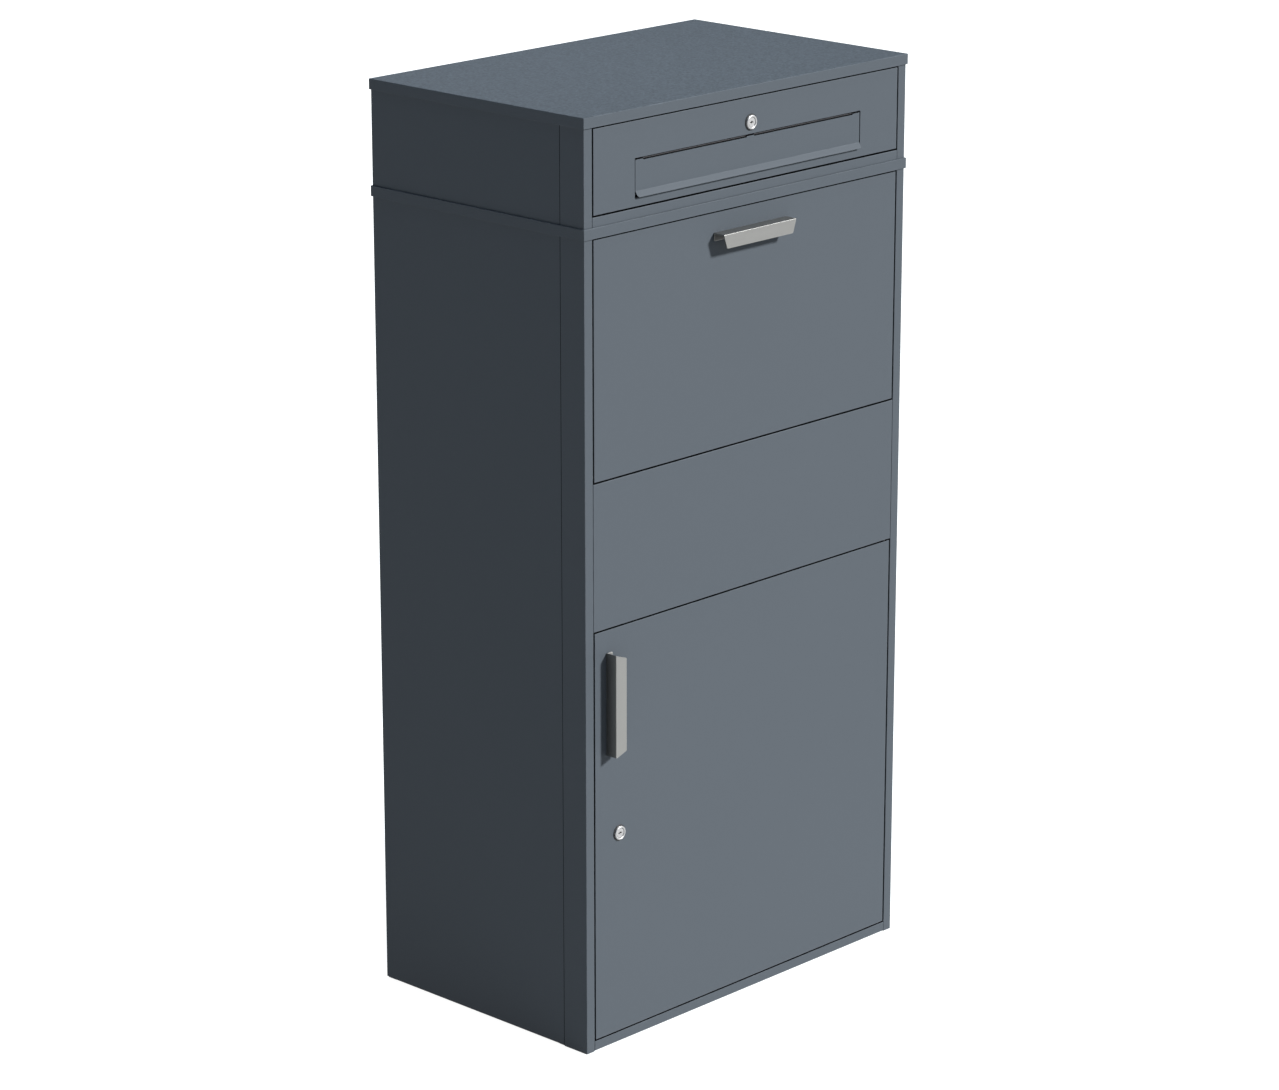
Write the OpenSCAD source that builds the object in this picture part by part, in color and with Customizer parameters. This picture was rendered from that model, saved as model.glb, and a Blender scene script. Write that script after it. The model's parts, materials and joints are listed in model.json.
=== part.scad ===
// Parcel drop box in folded sheet steel. The lower cabinet has a tilting parcel hopper above and a
// lockable collection door below. A letter box with a flap and a drop-down door is bolted on top.
// Millimetres. The origin is the centre of the base at floor level, the front faces -Y, +Z is up.

/* [Cabinet] */
// Width over the lids
body_w = 700; // [560:1:850]
// Depth over the lids
body_d = 440; // [360:1:540]
// Height of the lower cabinet, over its lid
cabinet_h = 1256.5; // [1045:0.5:1520]
// Height of the letter box, over its lid
mail_h = 159.5; // [155:0.5:240]
// Thickness of the folded sheet
sheet = 1.5; // [1.2:0.1:1.8]
// Depth of the skirt folded down round each lid
skirt_h = 16; // [13:0.5:22]
// Gap between a lid's skirt and the panels inside it
lid_gap = 0.8; // [0.2:0.1:1.5]
// Thickness of the base plate
base_t = 2; // [1.9:0.1:4]
// Height of the panels' lower edges above the floor
foot_gap = 1.8; // [0.5:0.1:1.8]
// Height of the flanges that tie the base plate to the side panels
base_flange = 25; // [10:1:60]

/* [Frame] */
// Width of a front post's face
post_face = 16.7; // [15.5:0.1:30]
// Depth of a front post's side wing
post_side = 47.2; // [36:0.1:70]
// Depth of the return behind a front post's face
post_return = 20; // [19.5:0.5:26]
// Width of the lip at the back of that return
post_lip = 10; // [8:0.5:12]
// Reach of the tab that backs the seam between a post and a side panel
post_tab = 12; // [6:1:20]
// Width of each wing of a rear post
rear_post = 18; // [12:1:30]
// Open seam between fixed panels
seam = 0.6; // [0.2:0.1:0.6]
// Running gap round every leaf
door_gap = 2.6; // [2.1:0.1:4]
// Height of the bottom rail's top edge above the floor
rail_top = 15.7; // [14:0.1:30]
// Height of the rail below the letter box door
mail_rail_h = 14.2; // [11.5:0.1:24]

/* [Leaves] */
// Height of the collection door
door_h = 635.9; // [528:0.1:760]
// Height of the hopper's front
hopper_h = 355.8; // [296:0.1:430]
// Depth of the folded edges of the collection door
door_fold = 18; // [15:0.5:19]
// Depth of the folded edges of the hopper front and the letter box door
small_fold = 14; // [11.5:0.5:17]
// Distance of the collection door's hinge line from the door's edge
hinge_in = 8; // [7:0.1:9]
// Distance of the collection door's and the hopper's hinge lines behind the front
hinge_back = 6; // [5.6:0.1:6.2]
// Radius of their pivot pins
pin_r = 3; // [2.5:0.1:3.2]
// Height of the hopper's hinge line above its lower edge
hopper_up = 8; // [7.5:0.1:9]
// Height of the letter box door's hinge line above its lower edge
mail_up = 6.2; // [5.5:0.1:6.8]
// Distance of that hinge line behind the front
mail_back_in = 4.5; // [4.2:0.1:4.8]
// Radius of the letter box door's pivot pins
mail_pin_r = 2; // [1.6:0.1:2.1]

/* [Hopper] */
// Angle that the hopper tilts through
hopper_open = 45; // [35:1:50]
// Height of the tray's floor above the hinge line, square to the tray
tray_off = 10; // [9:0.5:16]
// Gap left behind the tray when it is level
tray_gap = 30; // [22:1:60]
// Height of the tray's side flanges
tray_side = 15; // [8:1:30]
// Drop of the stiffening lip at the tray's end
tray_lip = 14; // [8:1:25]
// Gap between the cheeks' rim and the hopper's upper edge
cheek_gap = 8; // [5:0.5:20]
// Length of the stop tab on each cheek
stop_l = 30; // [15:1:50]
// Thickness of the rubber buffers
buffer_t = 3; // [2:0.5:5]

/* [Letter slot] */
// Width of the slot in the letter box door
slot_w = 488; // [330:1:520]
// Height of the slot
slot_h = 57.5; // [40:0.5:60]
// Height of the slot above the door's lower edge
slot_up = 12.7; // [11:0.1:20]
// Distance of the flap's rod behind the front
flap_back = 3.4; // [3.2:0.1:3.8]
// Drop of the flap's rod below the top of the slot
flap_drop = 2.6; // [2.6:0.1:4]
// Open gap between the flap's upper edge and the top of the slot
flap_top = 4.2; // [3:0.1:6]
// Distance of the flap's face behind the front
flap_recess = 0.4; // [0.3:0.1:0.8]
// Width of each knuckle that holds the flap to its rod
knuckle_w = 16; // [8:1:40]
// Thickness of the flap's sheet
flap_t = 1.2; // [1:0.1:1.3]
// Gap at each end of the flap
flap_gap = 1.4; // [0.5:0.1:2]
// Length of the lip bent out at the flap's lower edge
flap_lip = 10; // [6:0.5:11]
// Angle of that lip
flap_bend = 35; // [20:1:50]

/* [Handles] */
// Length of a handle at its web
handle_l = 157.6; // [120:0.1:200]
// Reach of a handle in front of its leaf
handle_out = 21; // [18:0.5:30]
// Width of a handle's front plate
handle_w = 21.5; // [17:0.5:26]
// Width of a handle's back flange
handle_foot = 12.2; // [10:0.1:16]
// Thickness of a handle's sheet
handle_t = 2; // [1.7:0.1:2.5]
// Amount that each end of the front plate tapers in
handle_taper = 7.1; // [0:0.1:12]
// Gap above the collection door's handle
handle_down = 34.4; // [20:0.1:120]
// Distance of its web from the door's edge
handle_in = 23.4; // [20:0.1:26]
// Gap above the hopper's handle
hopper_handle_down = 29.3; // [18:0.1:80]

/* [Locks] */
// Distance of the collection door's lock from the door's edge
lock_in = 50.4; // [46:0.1:70]
// Height of that lock above the door's lower edge
lock_up = 315.9; // [60:0.1:390]
// Height of the letter box lock above the slot
mail_lock_up = 17.3; // [16:0.1:20]
// Radius of a lock's barrel
barrel_r = 9; // [8:0.1:9.5]
// Radius of the plug that the key turns
plug_r = 7; // [5.5:0.1:7]
// Radius of a lock's bright flange
flange_r = 10.8; // [10.5:0.1:11.5]
// Radius of the dark ring behind the flange
ring_r = 12.5; // [11.8:0.1:12.8]
// Thickness of a lock's cam
cam_t = 2.5; // [2:0.1:4]
// Width of a lock's cam
cam_w = 14; // [12:0.5:18]
// Distance that a cam reaches past the edge that it locks behind
cam_grip = 7; // [4:0.5:8]

/* [Anchors] */
// Distance between the floor anchors across the cabinet
anchor_w = 500; // [300:1:520]
// Distance between the floor anchors from front to back
anchor_d = 280; // [120:1:300]
// Radius of an anchor hole
anchor_r = 6; // [4:0.5:8]
// Distance between the bolts that hold the letter box, across
bolt_w = 500; // [300:1:520]
// Distance between those bolts from front to back
bolt_d = 280; // [120:1:300]
// Radius of those bolts
bolt_r = 4; // [3:0.5:6]

/* [Hidden] */

// Colours
coat = [0.42, 0.45, 0.48];
inner_coat = [0.34, 0.36, 0.39];
brushed = [0.72, 0.73, 0.72];
zinc = [0.62, 0.64, 0.66];
chrome = [0.84, 0.85, 0.87];
dark = [0.10, 0.10, 0.11];
nylon = [0.90, 0.90, 0.88];
rubber = [0.07, 0.07, 0.07];

// Clearances
run_gap = 0.05;     // between a pin and the hole that turns on it
slip_gap = 0.1;     // between pieces that slide together by hand
free_gap = 0.5;     // between pieces that pass each other
pin_head = 3;       // thickness of a pivot pin's head

// Faces of the cabinet
lid_x = body_w / 2;
lid_y = body_d / 2;
out_x = lid_x - sheet - lid_gap;
out_y = lid_y - sheet - lid_gap;
in_x = out_x - sheet;
in_y = out_y - sheet;
front = -out_y;
total_h = cabinet_h + mail_h;

// Frame and leaves
post_in = out_x - post_face;
leaf_x = post_in - door_gap;
wing_y = front + post_side;
tab_y = wing_y + post_tab;
rear_y = in_y - rear_post;
rear_x = in_x - rear_post;
stop_y = front + door_fold + free_gap + buffer_t + 1;
stop_up = 15;
door_z0 = rail_top + door_gap;
door_z1 = door_z0 + door_h;
hopper_z1 = cabinet_h - skirt_h - door_gap;
hopper_z0 = hopper_z1 - hopper_h;
mid_z0 = door_z1 + door_gap;
mid_z1 = hopper_z0 - door_gap;
mail_z0 = cabinet_h + mail_rail_h + door_gap;
mail_z1 = total_h - skirt_h - door_gap;

// Hinge lines
hinge_x = leaf_x - hinge_in;
hinge_y = front + hinge_back;
hopper_z = hopper_z0 + hopper_up;
mail_pin_y = front + mail_back_in;
mail_pin_z = mail_z0 + mail_up;
head_r = hinge_back - sheet - 0.3;
mail_head_r = mail_back_in - sheet - 0.2;
bush_r = hinge_back - sheet - slip_gap;
mail_bush_r = mail_back_in - sheet - slip_gap;
block_l = 15;

// Hopper
cheek_out = leaf_x - sheet;
cheek_in = cheek_out - sheet;
tray_l = in_y - hinge_y - tray_gap;
cheek_r = min(hopper_h - hopper_up - cheek_gap, tray_l);
tray_root_z = hopper_z + tan(hopper_open) * (hinge_back - sheet)
    + (tray_off - sheet) / cos(hopper_open);
stop_r1 = cheek_r - cheek_gap;
stop_r0 = stop_r1 - stop_l;

// Letter slot
slot_z0 = mail_z0 + slot_up;
slot_z1 = slot_z0 + slot_h;
rod_y0 = front + flap_back;
rod_z0 = slot_z1 - flap_drop;
rod_r = flap_back - sheet - 0.3;
knuckle_r = rod_r + run_gap + 1.05;
flap_x = slot_w / 2 - flap_gap;
flap_face = front + flap_recess;
lip_z = slot_z0 + flap_lip * cos(flap_bend) + 1.3;

// Locks
lock_x = -leaf_x + lock_in;
lock_z = door_z0 + lock_up;
mail_lock_z = slot_z1 + mail_lock_up;
ring_t = 1;
rim_in_r = plug_r + 0.4;
plug_face = ring_t + 1.2;
nut_t = 5;
cam_z = post_return + 1.2;
shank = 7.8;
screw_r = 2;
door_cam_reach = post_in + lock_x + cam_grip;
mail_cam_reach = total_h - skirt_h - mail_lock_z + cam_grip;

// Handles
handle_x = -leaf_x + handle_in;
handle_z = door_z1 - handle_down - handle_l / 2;
hopper_handle_z = hopper_z1 - hopper_handle_down;
handle_round = 3;
handle_bite = 1.6;
screw_span = handle_l - 50;

// ---------- Shapes that repeat ----------

module box(x0, x1, y0, y1, z0, z1) {
    translate([x0, y0, z0]) cube([x1 - x0, y1 - y0, z1 - z0]);
}

module rod_along_x(x0, x1, y, z, r) {
    translate([x0, y, z]) rotate([0, 90, 0]) cylinder(r = r, h = x1 - x0, $fn = 48);
}

module rod_along_z(x, y, z0, z1, r) {
    translate([x, y, z0]) cylinder(r = r, h = z1 - z0, $fn = 48);
}

// Extrudes a (Y, Z) outline from x0 to x1
module prism_x(x0, x1) {
    translate([x0, 0, 0]) rotate([90, 0, 90]) linear_extrude(x1 - x0) children();
}

module both_sides() {
    children();
    mirror([1, 0, 0]) children();
}

module corners(w, d) {
    for (x = [-w / 2, w / 2], y = [-d / 2, d / 2]) translate([x, y, 0]) children();
}

// A leaf: a front sheet with its four edges folded back
module leaf(z0, z1, depth) {
    difference() {
        box(-leaf_x, leaf_x, front, front + depth, z0, z1);
        box(-leaf_x + sheet, leaf_x - sheet, front + sheet, front + depth + 1,
            z0 + sheet, z1 - sheet);
    }
}

// A front post on the right: side wing, face, return, rear lip and seam tab
module front_post(z0, z1) {
    box(in_x, out_x, front, wing_y, z0, z1);
    box(post_in, out_x, front, front + sheet, z0, z1);
    box(post_in, post_in + sheet, front, front + post_return, z0, z1);
    box(post_in, post_in + post_lip, front + post_return - sheet, front + post_return, z0, z1);
    box(in_x - sheet, in_x, wing_y - post_tab, tab_y, z0, z1);
}

module rear_post(z0, z1) {
    box(in_x - sheet, in_x, rear_y, in_y, z0, z1);
    box(rear_x, in_x, in_y - sheet, in_y, z0, z1);
}

module side_panel(z0, z1) {
    box(in_x, out_x, wing_y + seam, out_y, z0, z1);
}

module back_sheet(z0, z1) {
    box(-in_x, in_x, in_y, out_y, z0, z1);
}

// A floor that fits between the posts
module floor_sheet(z0, z1) {
    box(-post_in, post_in, front + sheet, tab_y, z0, z1);
    box(-in_x, in_x, tab_y, rear_y, z0, z1);
    box(-rear_x, rear_x, rear_y, in_y, z0, z1);
}

// A lid: a flat top with a skirt that drops over the panels
module lid(z1) {
    difference() {
        box(-lid_x, lid_x, -lid_y, lid_y, z1 - skirt_h, z1);
        box(-lid_x + sheet, lid_x - sheet, -lid_y + sheet, lid_y - sheet,
            z1 - skirt_h - 1, z1 - sheet);
    }
}

// A header behind a lid's front skirt, with a rear lip for stops and cams
module header(z1) {
    z0 = z1 - skirt_h;
    y1 = front + post_return;
    difference() {
        union() {
            box(-post_in, post_in, front, front + sheet, z0, z1 - sheet);
            box(-post_in, post_in, front, y1, z0, z0 + sheet);
            box(-post_in, post_in, y1 - sheet, y1, z0, z1 - 2 * sheet);
        }
        end_seams(z0 - 1, z1 + 1);
    }
}

// Cuts the open seams between a rail's face and the posts
module end_seams(z0, z1) {
    both_sides() box(post_in - seam, post_in + 1, front - 1, front + 2 * sheet, z0, z1);
}

// A pivot pin along X with its head behind a post's return
module side_pin(y, z, r, inner_x, r_head) {
    rod_along_x(inner_x, post_in + sheet, y, z, r);
    rod_along_x(post_in + sheet, post_in + sheet + pin_head, y, z, r_head);
}

// A nylon bush pressed into a folded edge
module side_bush(y, z, r, bore, inner_x, outer_x) {
    difference() {
        rod_along_x(inner_x, outer_x, y, z, r);
        rod_along_x(inner_x - 1, outer_x + 1, y, z, bore);
    }
}

// Places a lock's pieces: local +Z points out of the leaf and local Y points up
module at_lock(x, z) {
    translate([x, front, z]) rotate([90, 0, 0]) children();
}

module lock_body() {
    crown = (flange_r - rim_in_r) / 2;
    rotate_extrude($fn = 96) polygon(concat(
        [[plug_r + run_gap, -post_return], [barrel_r, -post_return], [barrel_r, ring_t],
         [flange_r, ring_t]],
        [for (a = [0:15:180]) [rim_in_r + crown + crown * cos(a), ring_t + 0.8 + crown * sin(a)]],
        [[plug_r + run_gap, ring_t + 0.8]]));
}

module lock_ring() {
    rotate_extrude($fn = 96) polygon([
        [barrel_r + slip_gap, 0], [ring_r, 0], [ring_r, ring_t - 0.4], [ring_r - 0.4, ring_t],
        [barrel_r + slip_gap, ring_t]]);
}

module lock_nut() {
    difference() {
        translate([0, 0, -sheet - nut_t]) cylinder(r = ring_r + 0.5, h = nut_t, $fn = 6);
        translate([0, 0, -sheet - nut_t - 1]) cylinder(r = barrel_r, h = nut_t + 2, $fn = 64);
    }
}

module lock_plug() {
    difference() {
        union() {
            translate([0, 0, -cam_z]) cylinder(r = plug_r, h = cam_z + plug_face, $fn = 64);
            translate([-shank / 2, -shank / 2, -cam_z - cam_t]) cube([shank, shank, cam_t]);
        }
        translate([-4, -0.7, plug_face - 6]) cube([8, 1.4, 7]);
        translate([-1.1, -2, plug_face - 6]) cube([2.2, 4, 7]);
        translate([0, 0, -cam_z - cam_t - 1]) cylinder(r = screw_r, h = cam_t + 9, $fn = 32);
    }
}

module lock_cam(reach, angle) {
    hole = shank + 2 * slip_gap;
    arm = reach - cam_w / 2;
    translate([0, 0, -cam_z - cam_t]) rotate([0, 0, angle]) difference() {
        union() {
            cylinder(r = cam_w / 2 + 2, h = cam_t, $fn = 64);
            translate([0, -cam_w / 2, 0]) cube([arm, cam_w, cam_t]);
            translate([arm, 0, 0]) cylinder(r = cam_w / 2, h = cam_t, $fn = 64);
        }
        translate([-hole / 2, -hole / 2, -1]) cube([hole, hole, cam_t + 2]);
    }
}

module lock_screw() {
    translate([0, 0, -cam_z - cam_t - 3]) cylinder(r = 5.6, h = 3, $fn = 48);
    translate([0, 0, -cam_z - cam_t]) cylinder(r = screw_r, h = cam_t + 8, $fn = 32);
}

function arc(cx, cy, r, a0, a1) =
    [for (i = [0:6]) let (a = a0 + (a1 - a0) * i / 6) [cx + r * cos(a), cy + r * sin(a)]];

// A handle along local X with its web on top: local +Z points out of the leaf, fingers go in from -Y
module handle_body() {
    half = handle_l / 2;
    tip = half - handle_taper;
    lean = atan(handle_taper / handle_w);
    round_x = tip - handle_round * tan(45 - lean / 2);
    round_y = -handle_w + handle_round;
    difference() {
        union() {
            translate([-half, -handle_foot, 0]) cube([handle_l, handle_foot, handle_t]);
            translate([-half, -handle_t, 0]) cube([handle_l, handle_t, handle_out]);
            translate([0, 0, handle_out - handle_t]) linear_extrude(handle_t) polygon(concat(
                [[half, 0], [half, -0.5]], arc(round_x, round_y, handle_round, -lean, -90),
                arc(-round_x, round_y, handle_round, -90, lean - 180),
                [[-half, -0.5], [-half, 0]]));
        }
        for (s = [-1, 1]) translate([s * screw_span / 2, -handle_foot / 2, -1])
            cylinder(r = screw_r, h = 1 + handle_bite, $fn = 32);
    }
}

// The screws that hold a handle from behind its leaf
module handle_screws() {
    for (s = [-1, 1]) translate([s * screw_span / 2, -handle_foot / 2, 0]) {
        translate([0, 0, -sheet]) cylinder(r = screw_r, h = sheet + handle_bite, $fn = 32);
        translate([0, 0, -sheet - 2.5]) cylinder(r = 3.8, h = 2.5, $fn = 48);
    }
}

module handle_holes() {
    for (s = [-1, 1]) translate([s * screw_span / 2, -handle_foot / 2, -sheet - 1])
        cylinder(r = screw_r, h = sheet + 2, $fn = 32);
}

module at_hopper_handle() {
    translate([0, front, hopper_handle_z]) rotate([90, 0, 0]) children();
}

module at_door_handle() {
    translate([handle_x, front, handle_z]) rotate([90, 0, 0]) rotate([0, 0, 90]) children();
}

// Local +Y runs down the tray, local +Z is square to it
module at_tray() {
    translate([0, hinge_y, hopper_z]) rotate([-hopper_open, 0, 0]) children();
}

// ---------- Lower cabinet ----------

module base_plate() {
    color(inner_coat) difference() {
        union() {
            floor_sheet(0, base_t);
            both_sides() box(in_x - sheet, in_x, tab_y, rear_y, 0, base_flange);
        }
        corners(anchor_w, anchor_d) translate([0, 0, -1])
            cylinder(r = anchor_r, h = base_t + 2, $fn = 48);
    }
}

module side_panel_right() {
    color(coat) side_panel(foot_gap, cabinet_h - sheet);
}

module side_panel_left() {
    color(coat) mirror([1, 0, 0]) side_panel(foot_gap, cabinet_h - sheet);
}

module back_panel() {
    color(coat) back_sheet(foot_gap, cabinet_h - sheet);
}

module lower_post() {
    difference() {
        front_post(0, cabinet_h - sheet);
        rod_along_x(post_in - 1, post_in + sheet + 1, hinge_y, hopper_z, pin_r);
    }
}

module front_post_right() {
    color(coat) lower_post();
}

module front_post_left() {
    color(coat) mirror([1, 0, 0]) lower_post();
}

module rear_posts() {
    color(inner_coat) both_sides() rear_post(0, cabinet_h - sheet);
}

module bottom_rail() {
    y1 = stop_y + sheet;
    color(coat) difference() {
        union() {
            box(-post_in, post_in, front, front + sheet, foot_gap, rail_top);
            box(-post_in, post_in, front + sheet, y1, base_t, base_t + sheet);
            box(-post_in, post_in, front, y1, rail_top - sheet, rail_top);
            box(-post_in, post_in, stop_y, y1, rail_top - sheet, rail_top + stop_up);
        }
        end_seams(0, rail_top + 1);
        rod_along_z(hinge_x, hinge_y, rail_top - 2 * sheet, rail_top + 1, pin_r);
    }
}

module middle_panel() {
    y1 = stop_y + sheet;
    x1 = post_in - seam;
    color(coat) difference() {
        union() {
            box(-x1, x1, front, front + sheet, mid_z0, mid_z1);
            box(-x1, x1, front, y1, mid_z0, mid_z0 + sheet);
            box(-x1, x1, stop_y, y1, mid_z0 - stop_up, mid_z0 + sheet);
            box(-x1, x1, front, front + small_fold, mid_z1 - sheet, mid_z1);
            both_sides() {
                box(x1 - sheet, x1, front, front + small_fold, mid_z0, mid_z1);
                box(x1, post_in, front + 2 * sheet, front + small_fold, mid_z0, mid_z1);
            }
        }
        rod_along_z(hinge_x, hinge_y, mid_z0 - 1, mid_z0 + 2 * sheet, pin_r);
    }
}

module header_rail() {
    color(coat) header(cabinet_h);
}

module lower_lid() {
    color(coat) difference() {
        lid(cabinet_h);
        corners(bolt_w, bolt_d) translate([0, 0, cabinet_h - 2 * sheet])
            cylinder(r = bolt_r, h = 3 * sheet, $fn = 48);
    }
}

// A sloping plate that leads parcels over the gap behind the level tray
module rear_deflector() {
    y0 = in_y - tray_gap + 5;
    z0 = hopper_z + tray_off + 2;
    z1 = z0 + 50;
    color(inner_coat) prism_x(-rear_x, rear_x) polygon([
        [y0, z0], [y0 + sheet, z0], [in_y, z1 - sheet], [in_y, z1 + 25],
        [in_y - sheet, z1 + 25], [in_y - sheet, z1]]);
}

module door_hinge_pins() {
    color(zinc) {
        rod_along_z(hinge_x, hinge_y, rail_top - sheet, door_z0 + sheet + block_l, pin_r);
        rod_along_z(hinge_x, hinge_y, rail_top - sheet - pin_head, rail_top - sheet, head_r);
        rod_along_z(hinge_x, hinge_y, door_z1 - sheet - block_l, mid_z0 + sheet, pin_r);
        rod_along_z(hinge_x, hinge_y, mid_z0 + sheet, mid_z0 + sheet + pin_head, head_r);
    }
}

module hopper_pivot_pins() {
    color(zinc) both_sides() side_pin(hinge_y, hopper_z, pin_r, cheek_in - 3, head_r);
}

module hopper_buffers() {
    y0 = front + post_return;
    color(rubber) both_sides()
        box(post_in + 1, post_in + post_lip - 1, y0, y0 + buffer_t,
            hopper_z + stop_r0, hopper_z + stop_r1);
}

module door_buffers() {
    y0 = stop_y - buffer_t;
    x0 = -leaf_x + 60;
    color(rubber) {
        box(x0, x0 + 40, y0, stop_y, rail_top + 5, rail_top + stop_up);
        box(x0, x0 + 40, y0, stop_y, mid_z0 - stop_up, mid_z0 - 5);
    }
}

// ---------- Letter box ----------

module mail_floor() {
    color(inner_coat) difference() {
        floor_sheet(cabinet_h, cabinet_h + sheet);
        corners(bolt_w, bolt_d) translate([0, 0, cabinet_h - sheet])
            cylinder(r = bolt_r, h = 3 * sheet, $fn = 48);
    }
}

module mail_side_right() {
    color(coat) side_panel(cabinet_h, total_h - sheet);
}

module mail_side_left() {
    color(coat) mirror([1, 0, 0]) side_panel(cabinet_h, total_h - sheet);
}

module mail_back() {
    color(coat) back_sheet(cabinet_h, total_h - sheet);
}

module upper_post() {
    difference() {
        front_post(cabinet_h, total_h - sheet);
        rod_along_x(post_in - 1, post_in + sheet + 1, mail_pin_y, mail_pin_z, mail_pin_r);
    }
}

module mail_post_right() {
    color(coat) upper_post();
}

module mail_post_left() {
    color(coat) mirror([1, 0, 0]) upper_post();
}

module mail_rear_posts() {
    color(inner_coat) both_sides() rear_post(cabinet_h, total_h - sheet);
}

module mail_bottom_rail() {
    z1 = cabinet_h + mail_rail_h;
    y1 = front + small_fold;
    color(coat) difference() {
        union() {
            box(-post_in, post_in, front, front + sheet, cabinet_h, z1);
            box(-post_in, post_in, front + sheet, y1, cabinet_h + sheet, cabinet_h + 2 * sheet);
            box(-post_in, post_in, front, y1, z1 - sheet, z1);
        }
        end_seams(cabinet_h - 1, z1 + 1);
    }
}

module mail_header() {
    color(coat) header(total_h);
}

module top_lid() {
    color(coat) lid(total_h);
}

module mail_pivot_pins() {
    color(zinc) both_sides()
        side_pin(mail_pin_y, mail_pin_z, mail_pin_r, cheek_out - 4, mail_head_r);
}

module module_bolts() {
    color(zinc) corners(bolt_w, bolt_d) {
        translate([0, 0, cabinet_h - sheet - 12]) cylinder(r = bolt_r, h = 12 + 2 * sheet, $fn = 48);
        translate([0, 0, cabinet_h + sheet]) cylinder(r = bolt_r + 3.5, h = 4, $fn = 6);
    }
}

module module_nuts() {
    color(zinc) corners(bolt_w, bolt_d) translate([0, 0, cabinet_h - sheet - 6.5]) difference() {
        cylinder(r = bolt_r + 3.5, h = 6.5, $fn = 6);
        translate([0, 0, -1]) cylinder(r = bolt_r, h = 8.5, $fn = 48);
    }
}

// ---------- Hopper ----------

module hopper_front() {
    color(coat) difference() {
        leaf(hopper_z0, hopper_z1, small_fold);
        at_hopper_handle() handle_holes();
        both_sides() rod_along_x(cheek_out - 1, leaf_x + 1, hinge_y, hopper_z, bush_r);
    }
}

module hopper_tray() {
    color(inner_coat) {
        difference() {
            at_tray() {
                box(-cheek_in, cheek_in, -4 * hopper_up, tray_l, tray_off - sheet, tray_off);
                box(-cheek_in, cheek_in, tray_l - sheet, tray_l, tray_off - tray_lip, tray_off);
                both_sides() box(cheek_in - sheet, cheek_in, -4 * hopper_up, tray_l,
                    tray_off - sheet, tray_off + tray_side);
            }
            box(-leaf_x, leaf_x, front - 60, front + sheet, hopper_z - 20, hopper_z + 100);
        }
        box(-cheek_in, cheek_in, front + sheet, front + 2 * sheet,
            tray_root_z, tray_root_z + 20);
    }
}

// A sector plate that closes the hopper's side, with a tab that stops it on the post's buffer
module cheek() {
    tab_y0 = front + post_return + buffer_t + free_gap - hinge_y;
    difference() {
        union() {
            intersection() {
                rod_along_x(cheek_in, cheek_out, hinge_y, hopper_z, cheek_r);
                at_tray() box(cheek_in, cheek_out, -2 * cheek_r, 2 * cheek_r,
                    tray_off - sheet, 2 * cheek_r);
                box(cheek_in, cheek_out, front + sheet, in_y, hopper_z0, hopper_z1 - sheet - 1);
            }
            intersection() {
                rod_along_x(cheek_in, cheek_out, hinge_y, hopper_z, hopper_up + 10);
                box(cheek_in, cheek_out, front + sheet, hinge_y + small_fold - hinge_back,
                    hopper_z0 + sheet, hopper_z + 20);
            }
            at_tray() box(cheek_in, post_in + post_lip - 2, tab_y0, tab_y0 + sheet,
                stop_r0, stop_r1);
        }
        rod_along_x(cheek_in - 1, cheek_out + 1, hinge_y, hopper_z, bush_r);
    }
}

module hopper_cheek_right() {
    color(inner_coat) cheek();
}

module hopper_cheek_left() {
    color(inner_coat) mirror([1, 0, 0]) cheek();
}

module hopper_handle() {
    color(brushed) at_hopper_handle() handle_body();
}

module hopper_handle_screws() {
    color(zinc) at_hopper_handle() handle_screws();
}

module hopper_bushes() {
    color(dark) both_sides()
        side_bush(hinge_y, hopper_z, bush_r, pin_r + run_gap, cheek_in, post_in - free_gap);
}

// ---------- Collection door ----------

module collection_door() {
    hole_r = pin_r + run_gap;
    color(coat) difference() {
        leaf(door_z0, door_z1, door_fold);
        rod_along_z(hinge_x, hinge_y, door_z0 - 1, door_z0 + sheet + 1, hole_r);
        rod_along_z(hinge_x, hinge_y, door_z1 - sheet - 1, door_z1 + 1, hole_r);
        at_door_handle() handle_holes();
        at_lock(lock_x, lock_z) translate([0, 0, -sheet - 1])
            cylinder(r = barrel_r + slip_gap, h = sheet + 2, $fn = 64);
    }
}

// A top-hat section down the middle of the door
module door_stiffener() {
    y0 = front + sheet;
    y1 = front + door_fold - 2;
    z0 = door_z0 + sheet + 20;
    z1 = door_z1 - sheet - 20;
    color(inner_coat) {
        box(-18, 18, y1 - sheet, y1, z0, z1);
        both_sides() {
            box(18 - sheet, 18, y0, y1, z0, z1);
            box(18 - sheet, 30, y0, y0 + sheet, z0, z1);
        }
    }
}

module door_handle() {
    color(brushed) at_door_handle() handle_body();
}

module door_handle_screws() {
    color(zinc) at_door_handle() handle_screws();
}

module door_hinge_blocks() {
    color(zinc) difference() {
        for (z = [door_z0 + sheet, door_z1 - sheet - block_l])
            box(hinge_x - 8, leaf_x - sheet, front + sheet, hinge_y + 8, z, z + block_l);
        rod_along_z(hinge_x, hinge_y, door_z0, door_z1, pin_r + run_gap);
    }
}

module door_lock_body() {
    color(chrome) at_lock(lock_x, lock_z) lock_body();
}

module door_lock_ring() {
    color(dark) at_lock(lock_x, lock_z) lock_ring();
}

module door_lock_nut() {
    color(zinc) at_lock(lock_x, lock_z) lock_nut();
}

module door_lock_plug() {
    color(chrome) at_lock(lock_x, lock_z) lock_plug();
}

module door_lock_cam() {
    color(zinc) at_lock(lock_x, lock_z) lock_cam(door_cam_reach, -90);
}

module door_lock_screw() {
    color(zinc) at_lock(lock_x, lock_z) lock_screw();
}

// ---------- Letter box door ----------

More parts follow.
